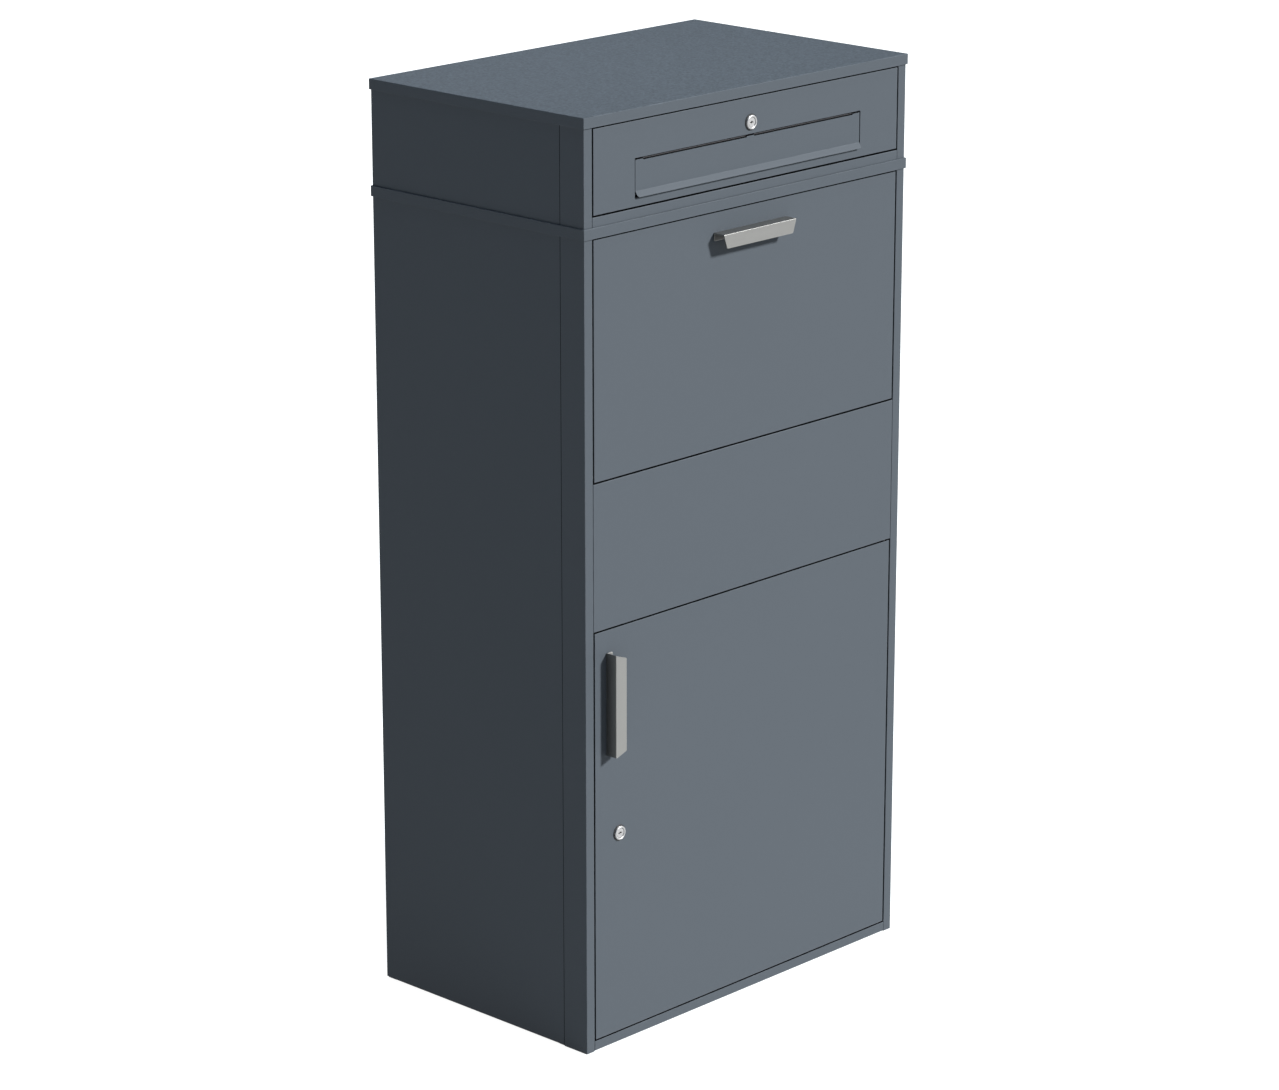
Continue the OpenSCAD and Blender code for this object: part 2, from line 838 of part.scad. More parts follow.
module mail_door() {
    color(coat) difference() {
        leaf(mail_z0, mail_z1, small_fold);
        box(-slot_w / 2, slot_w / 2, front - 1, front + sheet + 1, slot_z0, slot_z1);
        both_sides() rod_along_x(cheek_out - 1, leaf_x + 1, mail_pin_y, mail_pin_z, mail_bush_r);
        at_lock(0, mail_lock_z) translate([0, 0, -sheet - 1])
            cylinder(r = barrel_r + slip_gap, h = sheet + 2, $fn = 64);
    }
}

module mail_lock_body() {
    color(chrome) at_lock(0, mail_lock_z) lock_body();
}

module mail_lock_ring() {
    color(dark) at_lock(0, mail_lock_z) lock_ring();
}

module mail_lock_nut() {
    color(zinc) at_lock(0, mail_lock_z) lock_nut();
}

module mail_lock_plug() {
    color(chrome) at_lock(0, mail_lock_z) lock_plug();
}

module mail_lock_cam() {
    color(zinc) at_lock(0, mail_lock_z) lock_cam(mail_cam_reach, 180);
}

module mail_lock_screw() {
    color(zinc) at_lock(0, mail_lock_z) lock_screw();
}

module mail_bushes() {
    color(nylon) both_sides() side_bush(mail_pin_y, mail_pin_z, mail_bush_r,
        mail_pin_r + run_gap, cheek_out - 3, leaf_x);
}

module flap_rod() {
    color(zinc) rod_along_x(-slot_w / 2 - 6, slot_w / 2 + 6, rod_y0, rod_z0, rod_r);
}

// Lugs that carry the rod, each with a tab that stops the flap
module flap_brackets() {
    x0 = slot_w / 2 + free_gap;
    y0 = front + sheet;
    tab_y0 = flap_face + flap_t + 0.3;
    color(inner_coat) both_sides() difference() {
        union() {
            box(x0, x0 + 4, y0, y0 + 7, slot_z0 + 12, rod_z0 + 6);
            box(x0 - 7, x0 + 1, tab_y0 + 0.4, tab_y0 + 2, slot_z0 + 12, slot_z0 + 26);
        }
        rod_along_x(x0 - 1, x0 + 5, rod_y0, rod_z0, rod_r);
    }
}

// A flap held to its rod by three knuckles, with its lower edge bent out as a finger lip
module letter_flap() {
    tip_y = flap_face - flap_lip * sin(flap_bend);
    tip_z = lip_z - flap_lip * cos(flap_bend);
    corner = 6;
    starts = [-flap_x, -knuckle_w / 2, flap_x - knuckle_w];
    color(coat) difference() {
        union() {
            prism_x(-flap_x, flap_x) polygon([
                [flap_face, slot_z1 - flap_top], [flap_face, lip_z], [tip_y, tip_z],
                [tip_y + flap_t * cos(flap_bend), tip_z - flap_t * sin(flap_bend)],
                [flap_face + flap_t, lip_z - flap_t * tan(flap_bend / 2)],
                [flap_face + flap_t, slot_z1 - flap_top]]);
            for (x = starts) {
                rod_along_x(x, x + knuckle_w, rod_y0, rod_z0, knuckle_r);
                box(x, x + knuckle_w, flap_face, flap_face + flap_t, lip_z, rod_z0);
            }
        }
        rod_along_x(-flap_x - 1, flap_x + 1, rod_y0, rod_z0, rod_r + run_gap);
        both_sides() difference() {
            box(flap_x - corner, flap_x + 1, tip_y - 2, flap_face + 3, tip_z - 2, tip_z + corner - 1);
            translate([flap_x - corner, tip_y - 3, tip_z + corner - 1]) rotate([-90, 0, 0])
                cylinder(r = corner, h = 20, $fn = 48);
        }
    }
}

base_plate();
side_panel_left();
side_panel_right();
back_panel();
front_post_left();
front_post_right();
rear_posts();
bottom_rail();
middle_panel();
header_rail();
lower_lid();
rear_deflector();
door_hinge_pins();
hopper_pivot_pins();
hopper_buffers();
door_buffers();
mail_floor();
mail_side_left();
mail_side_right();
mail_back();
mail_post_left();
mail_post_right();
mail_rear_posts();
mail_bottom_rail();
mail_header();
top_lid();
mail_pivot_pins();
module_bolts();
module_nuts();
hopper_front();
hopper_tray();
hopper_cheek_left();
hopper_cheek_right();
hopper_handle();
hopper_handle_screws();
hopper_bushes();
collection_door();
door_stiffener();
door_handle();
door_handle_screws();
door_hinge_blocks();
door_lock_body();
door_lock_ring();
door_lock_nut();
door_lock_plug();
door_lock_cam();
door_lock_screw();
mail_door();
mail_lock_body();
mail_lock_ring();
mail_lock_nut();
mail_bushes();
flap_rod();
flap_brackets();
mail_lock_plug();
mail_lock_cam();
mail_lock_screw();
letter_flap();
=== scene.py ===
# %% [markdown]
# # A parcel drop box in folded, powder-coated sheet steel
# The object is a floor-standing cabinet: a collection door at the bottom, a tilting hopper above it, and a
# letter box bolted on top. It could be modelled freely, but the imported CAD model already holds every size,
# so it is loaded as a fixed frame. Every piece made here takes its place from that frame.

import json
import math

import bmesh
import bpy
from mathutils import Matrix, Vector
from mathutils.bvhtree import BVHTree


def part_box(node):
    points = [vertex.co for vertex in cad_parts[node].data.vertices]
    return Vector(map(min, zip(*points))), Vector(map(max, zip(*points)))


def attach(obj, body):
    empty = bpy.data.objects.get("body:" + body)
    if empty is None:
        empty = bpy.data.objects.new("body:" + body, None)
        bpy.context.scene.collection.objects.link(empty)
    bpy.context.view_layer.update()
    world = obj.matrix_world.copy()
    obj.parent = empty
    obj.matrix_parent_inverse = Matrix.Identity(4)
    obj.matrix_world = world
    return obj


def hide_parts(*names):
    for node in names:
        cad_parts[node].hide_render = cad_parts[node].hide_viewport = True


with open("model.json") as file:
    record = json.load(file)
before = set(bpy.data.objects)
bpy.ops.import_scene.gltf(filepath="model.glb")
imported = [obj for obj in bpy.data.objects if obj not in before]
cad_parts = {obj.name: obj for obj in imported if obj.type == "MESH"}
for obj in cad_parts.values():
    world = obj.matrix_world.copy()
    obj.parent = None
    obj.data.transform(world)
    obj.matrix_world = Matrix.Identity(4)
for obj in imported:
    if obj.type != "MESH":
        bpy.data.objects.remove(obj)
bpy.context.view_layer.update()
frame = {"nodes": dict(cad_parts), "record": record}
MM = 0.001
bodies = frame["record"]["behaviour"]["bodies"]
body_of = {node: body for body, nodes in bodies.items() for node in nodes}
slot_of = {node: obj.data.materials[0].name for node, obj in frame["nodes"].items()}
print("nodes:", len(frame["nodes"]), "bodies:", sorted(set(body_of.values())))

# %% [markdown]
# ## The camera
# A long lens stands well back, to the left of the front and a little above it, and aims at the cabinet's
# middle. It could be placed by hand in the viewport. Here its direction and distance are numbers, so that
# the view can be changed a little at a time and always comes out the same.

# %% Place the camera
AIM = Vector((-0.010, -0.0034, 0.6753))
DISTANCE = 6.531
AZIMUTH = math.radians(-46.34)
ELEVATION = math.radians(16.82)
SENSOR_WIDTH = 36
FOCAL_LENGTH = 119.9


def towards(azimuth, elevation):
    """The unit vector from the object to a viewer at this azimuth and elevation."""
    flat = math.cos(elevation)
    return Vector((math.sin(azimuth) * flat, -math.cos(azimuth) * flat, math.sin(elevation)))


lens = bpy.data.cameras.new("camera")
lens.sensor_fit = "HORIZONTAL"
lens.sensor_width = SENSOR_WIDTH
lens.lens = FOCAL_LENGTH
camera = bpy.data.objects.new("camera", lens)
camera.location = AIM + towards(AZIMUTH, ELEVATION) * DISTANCE
camera.rotation_euler = (camera.location - AIM).to_track_quat("Z", "Y").to_euler()
bpy.context.scene.collection.objects.link(camera)
bpy.context.scene.camera = camera
print("camera at", [round(x, 3) for x in camera.location])

# %% [markdown]
# ## Small helpers for node trees
# Shader groups and Geometry Nodes are both node trees. They are usually drawn with the mouse. In a script a
# few small helpers are enough: one makes a tree with named sockets, one adds a node and fills in its inputs,
# and the others add the nodes used most. A link is made whenever an input is given another node's output.

# %% Node tree helpers
SOCKETS = {"float": "NodeSocketFloat", "colour": "NodeSocketColor", "vector": "NodeSocketVector",
           "int": "NodeSocketInt", "geometry": "NodeSocketGeometry", "material": "NodeSocketMaterial"}


def new_tree(name, kind, inputs, outputs):
    """A node group whose sockets are (name, kind, default) rows."""
    tree = bpy.data.node_groups.new(name, kind)
    for side, rows in (("INPUT", inputs), ("OUTPUT", outputs)):
        for label, socket_kind, *default in rows:
            socket = tree.interface.new_socket(label, in_out=side, socket_type=SOCKETS[socket_kind])
            if default:
                socket.default_value = default[0]
    return tree, add(tree, "NodeGroupInput").outputs, add(tree, "NodeGroupOutput").inputs


def add(tree, kind, inputs=None, **settings):
    """A node with its settings, and with its inputs set to values or linked to outputs."""
    node = tree.nodes.new(kind)
    for key, value in settings.items():
        setattr(node, key, value)
    for key, value in (inputs or {}).items():
        if isinstance(value, bpy.types.NodeSocket):
            tree.links.new(value, node.inputs[key])
        else:
            node.inputs[key].default_value = value
    return node


def maths(tree, operation, *values, clamp=False):
    """One Math node's output."""
    node = add(tree, "ShaderNodeMath", dict(enumerate(values)), operation=operation, use_clamp=clamp)
    return node.outputs[0]


def scaled(tree, colour, factor):
    """A colour or vector times a number."""
    return add(tree, "ShaderNodeVectorMath", {0: colour, "Scale": factor}, operation="SCALE").outputs[0]


def along_z(tree, height):
    """A vector that points straight up by this much."""
    return add(tree, "ShaderNodeCombineXYZ", {"Z": height}).outputs[0]


print("helpers ready for", sorted(SOCKETS))

# %% [markdown]
# ## Grain of a powder coat
# Baked powder has a fine, pebbled skin: its colour is speckled very slightly and light catches small bumps.
# A picture could hold this, but noise in object space has no seams and keeps its real size on every panel.
# Several coats share it, so it is one group with its own inputs.

# %% The fine grain group
CLOUDS_PER_METRE = 4.0
COARSE_SHARE = 0.4
grain_group, g_in, g_out = new_tree(
    "fine_grain", "ShaderNodeTree",
    [("Color", "colour"), ("Grain per metre", "float", 900.0), ("Speckle", "float", 0.06),
     ("Clouding", "float", 0.02), ("Roughness", "float", 0.6), ("Spread", "float", 0.12)],
    [("Color", "colour"), ("Roughness", "float"), ("Height", "float")])
place = add(grain_group, "ShaderNodeTexCoord").outputs["Object"]
pebbles = add(grain_group, "ShaderNodeTexNoise",
              {"Vector": place, "Scale": g_in["Grain per metre"], "Detail": 2.0}).outputs[0]
coarse = maths(grain_group, "MULTIPLY", g_in["Grain per metre"], COARSE_SHARE)
specks = add(grain_group, "ShaderNodeTexNoise", {"Vector": place, "Scale": coarse, "Detail": 3.0}).outputs[0]
clouds = add(grain_group, "ShaderNodeTexNoise",
             {"Vector": place, "Scale": CLOUDS_PER_METRE, "Detail": 2.0}).outputs[0]
speck = maths(grain_group, "SUBTRACT", specks, 0.5)
cloud = maths(grain_group, "SUBTRACT", clouds, 0.5)
speck_shift = maths(grain_group, "MULTIPLY", speck, g_in["Speckle"])
cloud_shift = maths(grain_group, "MULTIPLY", cloud, g_in["Clouding"])
shift = maths(grain_group, "ADD", speck_shift, cloud_shift)
tone = maths(grain_group, "ADD", shift, 1.0)
grain_group.links.new(scaled(grain_group, g_in["Color"], tone), g_out["Color"])
uneven = maths(grain_group, "MULTIPLY", speck, g_in["Spread"])
grainy_roughness = maths(grain_group, "ADD", g_in["Roughness"], uneven, clamp=True)
grain_group.links.new(grainy_roughness, g_out["Roughness"])
grain_group.links.new(pebbles, g_out["Height"])
print("group:", grain_group.name, len(grain_group.nodes), "nodes")

# %% [markdown]
# ## Wear and painted highlight along edges
# A coat is thinnest on a sheet's edges, and hands polish it there first. The lighter colour on the rounded
# edges is partly that wear and partly a painted highlight. It could be painted by hand, but every folded
# piece will carry an attribute named edge, which is 1 on its rounded edges. The group breaks that mask up
# with noise, so that the lighter edges come and go instead of outlining the shape.

# %% The edge wear and painted highlight group
PATCH_CONTRAST = 2.6
PATCH_OFFSET = -0.9
wear_and_highlight_group, w_in, w_out = new_tree(
    "edge_wear_and_highlight", "ShaderNodeTree",
    [("Color", "colour"), ("Roughness", "float", 0.6), ("Worn And Lit Color", "colour"),
     ("Worn Roughness", "float", 0.4), ("Amount", "float", 0.5), ("Patches per metre", "float", 35.0)],
    [("Color", "colour"), ("Roughness", "float"), ("Mask", "float")])
rounded = add(wear_and_highlight_group, "ShaderNodeAttribute", attribute_name="edge").outputs["Fac"]
place = add(wear_and_highlight_group, "ShaderNodeTexCoord").outputs["Object"]
patches = add(wear_and_highlight_group, "ShaderNodeTexNoise",
              {"Vector": place, "Scale": w_in["Patches per metre"], "Detail": 4.0}).outputs[0]
broken = maths(wear_and_highlight_group, "MULTIPLY_ADD", patches, PATCH_CONTRAST, PATCH_OFFSET, clamp=True)
patchy = maths(wear_and_highlight_group, "MULTIPLY", rounded, broken)
mask = maths(wear_and_highlight_group, "MULTIPLY", patchy, w_in["Amount"], clamp=True)
worn_and_lit = add(wear_and_highlight_group, "ShaderNodeMix", {"Factor": mask}, data_type="RGBA")
wear_and_highlight_group.links.new(w_in["Color"], worn_and_lit.inputs["A"])
wear_and_highlight_group.links.new(w_in["Worn And Lit Color"], worn_and_lit.inputs["B"])
smoother = add(wear_and_highlight_group, "ShaderNodeMix",
               {"Factor": mask, "A": w_in["Roughness"], "B": w_in["Worn Roughness"]}, data_type="FLOAT")
wear_and_highlight_group.links.new(worn_and_lit.outputs["Result"], w_out["Color"])
wear_and_highlight_group.links.new(smoother.outputs["Result"], w_out["Roughness"])
wear_and_highlight_group.links.new(mask, w_out["Mask"])
print("group:", wear_and_highlight_group.name, len(wear_and_highlight_group.nodes), "nodes")

# %% [markdown]
# ## Lines of a brushed or turned metal
# An abrasive belt leaves long scratches that all run one way, and a lathe tool leaves rings. Both are the
# same idea: noise that is stretched along the direction of work. The group reads a vector that each
# material has already stretched, so one group serves grips, plated steel and turned faces.

# %% The brushed lines group
line_group, l_in, l_out = new_tree(
    "brushed_lines", "ShaderNodeTree",
    [("Vector", "vector"), ("Color", "colour"), ("Contrast", "float", 0.15),
     ("Roughness", "float", 0.35), ("Spread", "float", 0.15)],
    [("Color", "colour"), ("Roughness", "float"), ("Height", "float")])
scratches = add(line_group, "ShaderNodeTexNoise",
                {"Vector": l_in["Vector"], "Scale": 1.0, "Detail": 4.0, "Roughness": 0.65}).outputs[0]
shift = maths(line_group, "SUBTRACT", scratches, 0.5)
tone = maths(line_group, "MULTIPLY_ADD", shift, l_in["Contrast"], 1.0)
lined_roughness = maths(line_group, "MULTIPLY_ADD", shift, l_in["Spread"], l_in["Roughness"], clamp=True)
line_group.links.new(scaled(line_group, l_in["Color"], tone), l_out["Color"])
line_group.links.new(lined_roughness, l_out["Roughness"])
line_group.links.new(scratches, l_out["Height"])
print("group:", line_group.name, len(line_group.nodes), "nodes")

# %% [markdown]
# ## The coats
# The outside is a satin blue-grey powder coat. The inside has the same coat painted lighter and a little
# rougher: the lighter grey is painted fill light, so that the dim inside still reads. The lid's top has a
# coarser, matt powder that hides scratches. Each could have its own node tree, but one recipe makes them
# all, and rubber, the near-black shade paint and nylon too, because each is a grain with some wear and
# painted highlight on its edges. Gloss that is the same everywhere sits on the shader itself, and only what
# varies comes from the groups: colour, roughness and the height for the bump.

# %% Coat recipe
COAT_SPREAD = 0.14
COAT_POLISH = 0.14
COAT_RELIEF = 0.5


def start_material(name):
    """An empty material with a Principled shader, and its tree."""
    material = bpy.data.materials.new(name)
    material.use_nodes = True
    tree = material.node_tree
    return material, tree, tree.nodes["Principled BSDF"]


def bump(tree, shader, height, strength, depth):
    """Turns a height into the shader's normal. The depth is the real one, in metres."""
    relief = add(tree, "ShaderNodeBump", {"Height": height, "Strength": strength, "Distance": depth})
    tree.links.new(relief.outputs["Normal"], shader.inputs["Normal"])


def finish_surface(tree, shader, pattern, worn_and_lit_colour, worn_roughness, wear_and_highlight):
    """Adds edge wear to a pattern's roughness, and edge wear with a painted highlight to its colour, and
    gives both to the shader.
    """
    worn_and_lit_edges = add(tree, "ShaderNodeGroup",
                   {"Color": pattern.outputs["Color"], "Roughness": pattern.outputs["Roughness"],
                    "Worn And Lit Color": (*worn_and_lit_colour, 1), "Worn Roughness": worn_roughness, "Amount": wear_and_highlight},
                   node_tree=wear_and_highlight_group)
    tree.links.new(worn_and_lit_edges.outputs["Color"], shader.inputs["Base Color"])
    tree.links.new(worn_and_lit_edges.outputs["Roughness"], shader.inputs["Roughness"])


def coat(name, colour, worn_and_lit_colour, speckle=0.10, clouding=0.03, roughness=0.58, wear_and_highlight=0.35,
         specular=0.18, depth=0.14 * MM, grain=900.0):
    """A painted or moulded surface: grain, then wear and a painted highlight on its edges."""
    material, tree, shader = start_material(name)
    grainy = add(tree, "ShaderNodeGroup",
                 {"Color": (*colour, 1), "Grain per metre": grain, "Speckle": speckle,
                  "Clouding": clouding, "Roughness": roughness, "Spread": COAT_SPREAD},
                 node_tree=grain_group)
    finish_surface(tree, shader, grainy, worn_and_lit_colour, roughness - COAT_POLISH, wear_and_highlight)
    shader.inputs["Specular IOR Level"].default_value = specular
    bump(tree, shader, grainy.outputs["Height"], COAT_RELIEF, depth)
    return material


print("a worn edge is", COAT_POLISH, "less rough than its coat")

# %% Coats
# The lighter edge colour stands partly for wear and partly for a painted highlight on the rounded edges.
WORN_AND_LIT_COAT = (0.075, 0.085, 0.097)
powder_coat = coat("blue_grey_powder_coat", (0.0365, 0.0432, 0.0503), WORN_AND_LIT_COAT,
                   speckle=0.16, specular=0.12, roughness=0.62)
lid_coat = coat("textured_lid_coat", (0.0320, 0.0380, 0.0446), WORN_AND_LIT_COAT,
                speckle=1.3, roughness=0.82, specular=0.05, grain=700.0, depth=0.2 * MM)
# The inside is the same coat painted lighter, as painted fill light for the dim inside.
inner_coat = coat("inside_coat_painted_lighter", (0.085, 0.094, 0.104), (0.12, 0.13, 0.14),
                  roughness=0.66, wear_and_highlight=0.25)
rubber = coat("black_rubber", (0.012, 0.012, 0.012), (0.03, 0.03, 0.03),
              speckle=0.3, roughness=0.8, wear_and_highlight=0.3, specular=0.2, depth=0.1 * MM, grain=500.0)
# Near-black colour that is painted shade: it fills gaps, seams and the flap's knuckles where only shade
# falls.
shade_black = coat("near_black_shade_paint", (0.0016, 0.0016, 0.0017), (0.003, 0.003, 0.003),
                 speckle=0.4, roughness=0.95, wear_and_highlight=0.2, specular=0.02, depth=0.1 * MM, grain=700.0)
dark_ring = coat("matt_black_ring", (0.010, 0.010, 0.011), (0.03, 0.03, 0.032),
                 speckle=0.2, roughness=0.55, wear_and_highlight=0.4, specular=0.3, grain=1500.0)
nylon = coat("white_nylon", (0.72, 0.72, 0.70), (0.80, 0.80, 0.78),
             speckle=0.04, roughness=0.42, wear_and_highlight=0.2, specular=0.5, depth=0.03 * MM, grain=700.0)
print("coats:", [m.name for m in (powder_coat, lid_coat, inner_coat, rubber, shade_black, dark_ring, nylon)])

# %% [markdown]
# ## The bare metals
# Grips are brushed stainless steel, with lines that run along each grip. Pins, screws and cams are zinc
# plated, which looks milky with a faint mottle. The flap's rod is oiled steel, painted near black as the
# shade in the gap above the flap. The lock faces are turned and satin chromed. Their rings follow the
# distance from the lock's axis, which each turned piece carries as an attribute, because a plain noise would
# show no rings.

# %% Metal recipe
METAL_POLISH = 0.1
METAL_RELIEF = 0.35
# Bare metal edges are painted brighter, partly as polish from wear and partly as a painted highlight.
WORN_AND_LIT_BRIGHTER = 1.35
RINGS_PER_METRE = 2600.0


def stretched(tree, scale):
    """Object coordinates, squeezed so that noise comes out as lines along the smallest number's axis."""
    place = add(tree, "ShaderNodeTexCoord").outputs["Object"]
    return add(tree, "ShaderNodeMapping", {"Vector": place, "Scale": scale}).outputs[0]


def turned(tree):
    """Rings: noise along the distance from the axis alone."""
    radius = add(tree, "ShaderNodeAttribute", attribute_name="turn_radius").outputs["Fac"]
    rings = maths(tree, "MULTIPLY", radius, RINGS_PER_METRE)
    return add(tree, "ShaderNodeCombineXYZ", {"X": rings}).outputs[0]


def metal(name, colour, lines, contrast, roughness, spread, depth=0.01 * MM, metallic=1.0, wear_and_highlight=0.0):
    """A bare metal. Lines is the noise's scale along x, y and z, or None for turned rings."""
    material, tree, shader = start_material(name)
    vector = stretched(tree, lines) if lines else turned(tree)
    lined = add(tree, "ShaderNodeGroup",
                {"Vector": vector, "Color": (*colour, 1), "Contrast": contrast, "Roughness": roughness,
                 "Spread": spread}, node_tree=line_group)
    brighter_worn_and_lit = [min(1, WORN_AND_LIT_BRIGHTER * c) for c in colour]
    finish_surface(tree, shader, lined, brighter_worn_and_lit, roughness - METAL_POLISH, wear_and_highlight)
    shader.inputs["Metallic"].default_value = metallic
    bump(tree, shader, lined.outputs["Height"], METAL_RELIEF, depth)
    return material


print("a turned face has", RINGS_PER_METRE * MM, "rings per mm")

# %% Metals
STAINLESS = (0.222, 0.219, 0.209)
# The grips' edges are painted brighter, partly as wear and partly as a painted highlight.
brushed_across = metal("brushed_steel_across", STAINLESS, (14, 1900, 1900), 0.12, 0.385, 0.14, wear_and_highlight=0.6)
brushed_upright = metal("brushed_steel_upright", STAINLESS, (1900, 1900, 14), 0.12, 0.385, 0.14, wear_and_highlight=0.6)
zinc_plate = metal("zinc_plate", (0.56, 0.57, 0.58), (160, 160, 160), 0.30, 0.38, 0.30,
                   depth=0.02 * MM, wear_and_highlight=0.4)
lock_chrome = metal("satin_chrome", (0.295, 0.291, 0.288), None, 0.16, 0.42, 0.12,
                    metallic=0.75, wear_and_highlight=0.3)
# The flap's rod is oiled steel painted near black: painted shade for the gap above the flap.
oiled_steel_painted_shade = metal("oiled_steel_painted_shade", (0.018, 0.018, 0.019), (30, 900, 900), 0.30, 0.55, 0.20,
                    depth=0.02 * MM)
FINISH = {"powder_coat": powder_coat, "inner_coat": inner_coat, "brushed_handle": brushed_across,
          "zinc_plate": zinc_plate, "lock_chrome": lock_chrome, "dark_ring": dark_ring, "nylon": nylon,
          "rubber": rubber}
print("finishes:", sorted(FINISH))

# %% [markdown]
# ## Telling folds from cut edges
# A press brake bends a sheet round a small radius, and a cut edge keeps only a tiny round under its paint.
# The CAD solids have sharp corners, so every edge needs a radius. Choosing edges by hand would take hours. A
# probe tells the two kinds apart instead: beside a fold both faces go on for millimetres, and beside a cut
# edge one of them is only as wide as the sheet is thick. The folds here are crisp, 0.8 mm outside and 0.4 mm
# inside.

# %% Folds and cut edges
FOLD = 0.8 * MM
INNER_FOLD = 0.4 * MM
CUT = 0.18 * MM
SHORT = 3.0 * MM
PROBE = 0.02 * MM
FOLD_PROBE = 2.1
INNER_PROBE = 1.2 * MM
CUT_PROBE = 0.6 * MM
LEAST_ANGLE = math.radians(25)


def is_wide(face, edge, tree, reach):
    """Whether the face goes on for this far from the middle of its edge."""
    loop = next(l for l in face.loops if l.edge == edge)
    end = loop.link_loop_next.vert.co
    along = (end - loop.vert.co).normalized()
    inwards = face.normal.cross(along)
    probe = (end + loop.vert.co) / 2 + inwards * reach + face.normal * PROBE
    return tree.ray_cast(probe, -face.normal, 2 * PROBE)[0] is not None


def edge_radius(edge, tree, fold, inner, cut, short):
    """The radius that this edge would have on the real piece."""
    if len(edge.link_faces) != 2 or edge.calc_length() < short:
        return 0
    if edge.calc_face_angle() < LEAST_ANGLE:
        return 0

    def both_wide(reach):
        return all(is_wide(face, edge, tree, reach) for face in edge.link_faces)

    if not edge.is_convex:
        return inner if both_wide(INNER_PROBE) else 0
    if fold and both_wide(FOLD_PROBE * fold):
        return fold
    return cut if both_wide(CUT_PROBE) else 0


def solid_copy(node):
    """The node's own shape in a bmesh, with its loose triangles merged into whole faces."""
    bm = bmesh.new()
    bm.from_mesh(frame["nodes"][node].data)
    bmesh.ops.remove_doubles(bm, verts=bm.verts, dist=0.001 * MM)
    bmesh.ops.dissolve_limit(bm, angle_limit=math.radians(0.3), verts=bm.verts, edges=bm.edges)
    bm.normal_update()
    return bm


print("folds", FOLD / MM, "mm, cut edges", CUT / MM, "mm")

# %% [markdown]
# ## Making a rounded piece
# Each CAD node is copied, every edge gets a weight, and a Bevel modifier rounds it by that weight. The bevel
# gives its new faces a second material, which tells afterwards which faces are edges. That becomes the edge
# attribute that the edge wear and painted highlight read. A Weighted Normal modifier stays on the piece and
# keeps its flats flat.

# %% Rounded copies of CAD nodes
SMOOTH_BELOW = 38


def show(mesh, name):
    """A new object at the origin, with that mesh."""
    obj = bpy.data.objects.new(name, mesh)
    bpy.context.scene.collection.objects.link(obj)
    return obj


def settle(obj):
    """The object's modifiers worked into a plain mesh, and then removed."""
    graph = bpy.context.evaluated_depsgraph_get()
    mesh = bpy.data.meshes.new_from_object(obj.evaluated_get(graph), preserve_all_data_layers=True,
                                           depsgraph=graph)
    obj.modifiers.clear()
    obj.data = mesh
    return mesh


def smooth(mesh, degrees=SMOOTH_BELOW):
    """Smooth shading, apart from edges sharper than this."""
    mesh.shade_smooth()
    mesh.set_sharp_from_angle(angle=math.radians(degrees))


def put_on(obj, body, slot, material, *nodes):
    """Gives a finished piece its material and body, and hides the nodes that it stands for. The slot
    argument is not used.
    """
    obj.data.materials.clear()
    obj.data.materials.append(material)
    obj.data.polygons.foreach_set("material_index", [0] * len(obj.data.polygons))
    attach(obj, body)
    if nodes:
        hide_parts(*nodes)
    return obj


def weighted_mesh(node, name, widest, **radii):
    """A copy of the node whose edges carry their radius as a share of the widest."""
    bm = solid_copy(node)
    tree = BVHTree.FromBMesh(bm)
    weight = bm.edges.layers.float.new("bevel_weight_edge")
    count = 0
    for edge in bm.edges:
        radius = edge_radius(edge, tree, **radii)
        edge[weight] = radius / widest
        count += radius > 0
    mesh = bpy.data.meshes.new(name)
    bm.to_mesh(mesh)
    bm.free()
    return mesh, count


def rounded_piece(node, name, fold=FOLD, inner=INNER_FOLD, cut=CUT, short=SHORT, segments=3,
                  material=None):
    """A copy of the node with its folds and edges rounded, standing for the node."""
    widest = max(fold, inner, cut)
    mesh, count = weighted_mesh(node, name, widest, fold=fold, inner=inner, cut=cut, short=short)
    obj = show(mesh, name)
    for stand_in in ("flat", "rounded"):
        mesh.materials.append(bpy.data.materials.get(stand_in) or bpy.data.materials.new(stand_in))
    bevel = obj.modifiers.new("folds", "BEVEL")
    bevel.limit_method = "WEIGHT"
    bevel.width = widest
    bevel.segments = segments
    bevel.use_clamp_overlap = False
    bevel.material = 1
    mesh = settle(obj)
    mark = mesh.attributes.new("edge", "FLOAT", "FACE")
    mark.data.foreach_set("value", [float(p.material_index) for p in mesh.polygons])
    smooth(mesh)
    obj.modifiers.new("flat_faces", "WEIGHTED_NORMAL").keep_sharp = True
    put_on(obj, body_of[node], slot_of[node], material or FINISH[slot_of[node]], node)
    print(f"{name}: {count} edges rounded, {len(mesh.polygons)} faces")
    return obj


# %% [markdown]
# ## The cabinet's panels and frame
# Corner posts, side panels, back, rails and lids are laser-cut blanks, folded and welded from inside. They
# could be joined into one shell, but they stay separate pieces, because a fine seam shows between them on
# the real cabinet. All of them are made by the same rule, so a list is enough.

# %% Panels, posts, rails and lids
PANELS = ["base_plate", "side_panel_left", "side_panel_right", "back_panel", "front_post_left",
          "front_post_right", "rear_posts", "bottom_rail", "middle_panel", "header_rail", "lower_lid",
          "rear_deflector", "mail_floor", "mail_side_left", "mail_side_right", "mail_back",
          "mail_post_left", "mail_post_right", "mail_rear_posts", "mail_bottom_rail", "mail_header",
          "top_lid"]
panels = {node: rounded_piece(node, f"folded_{node}") for node in PANELS}

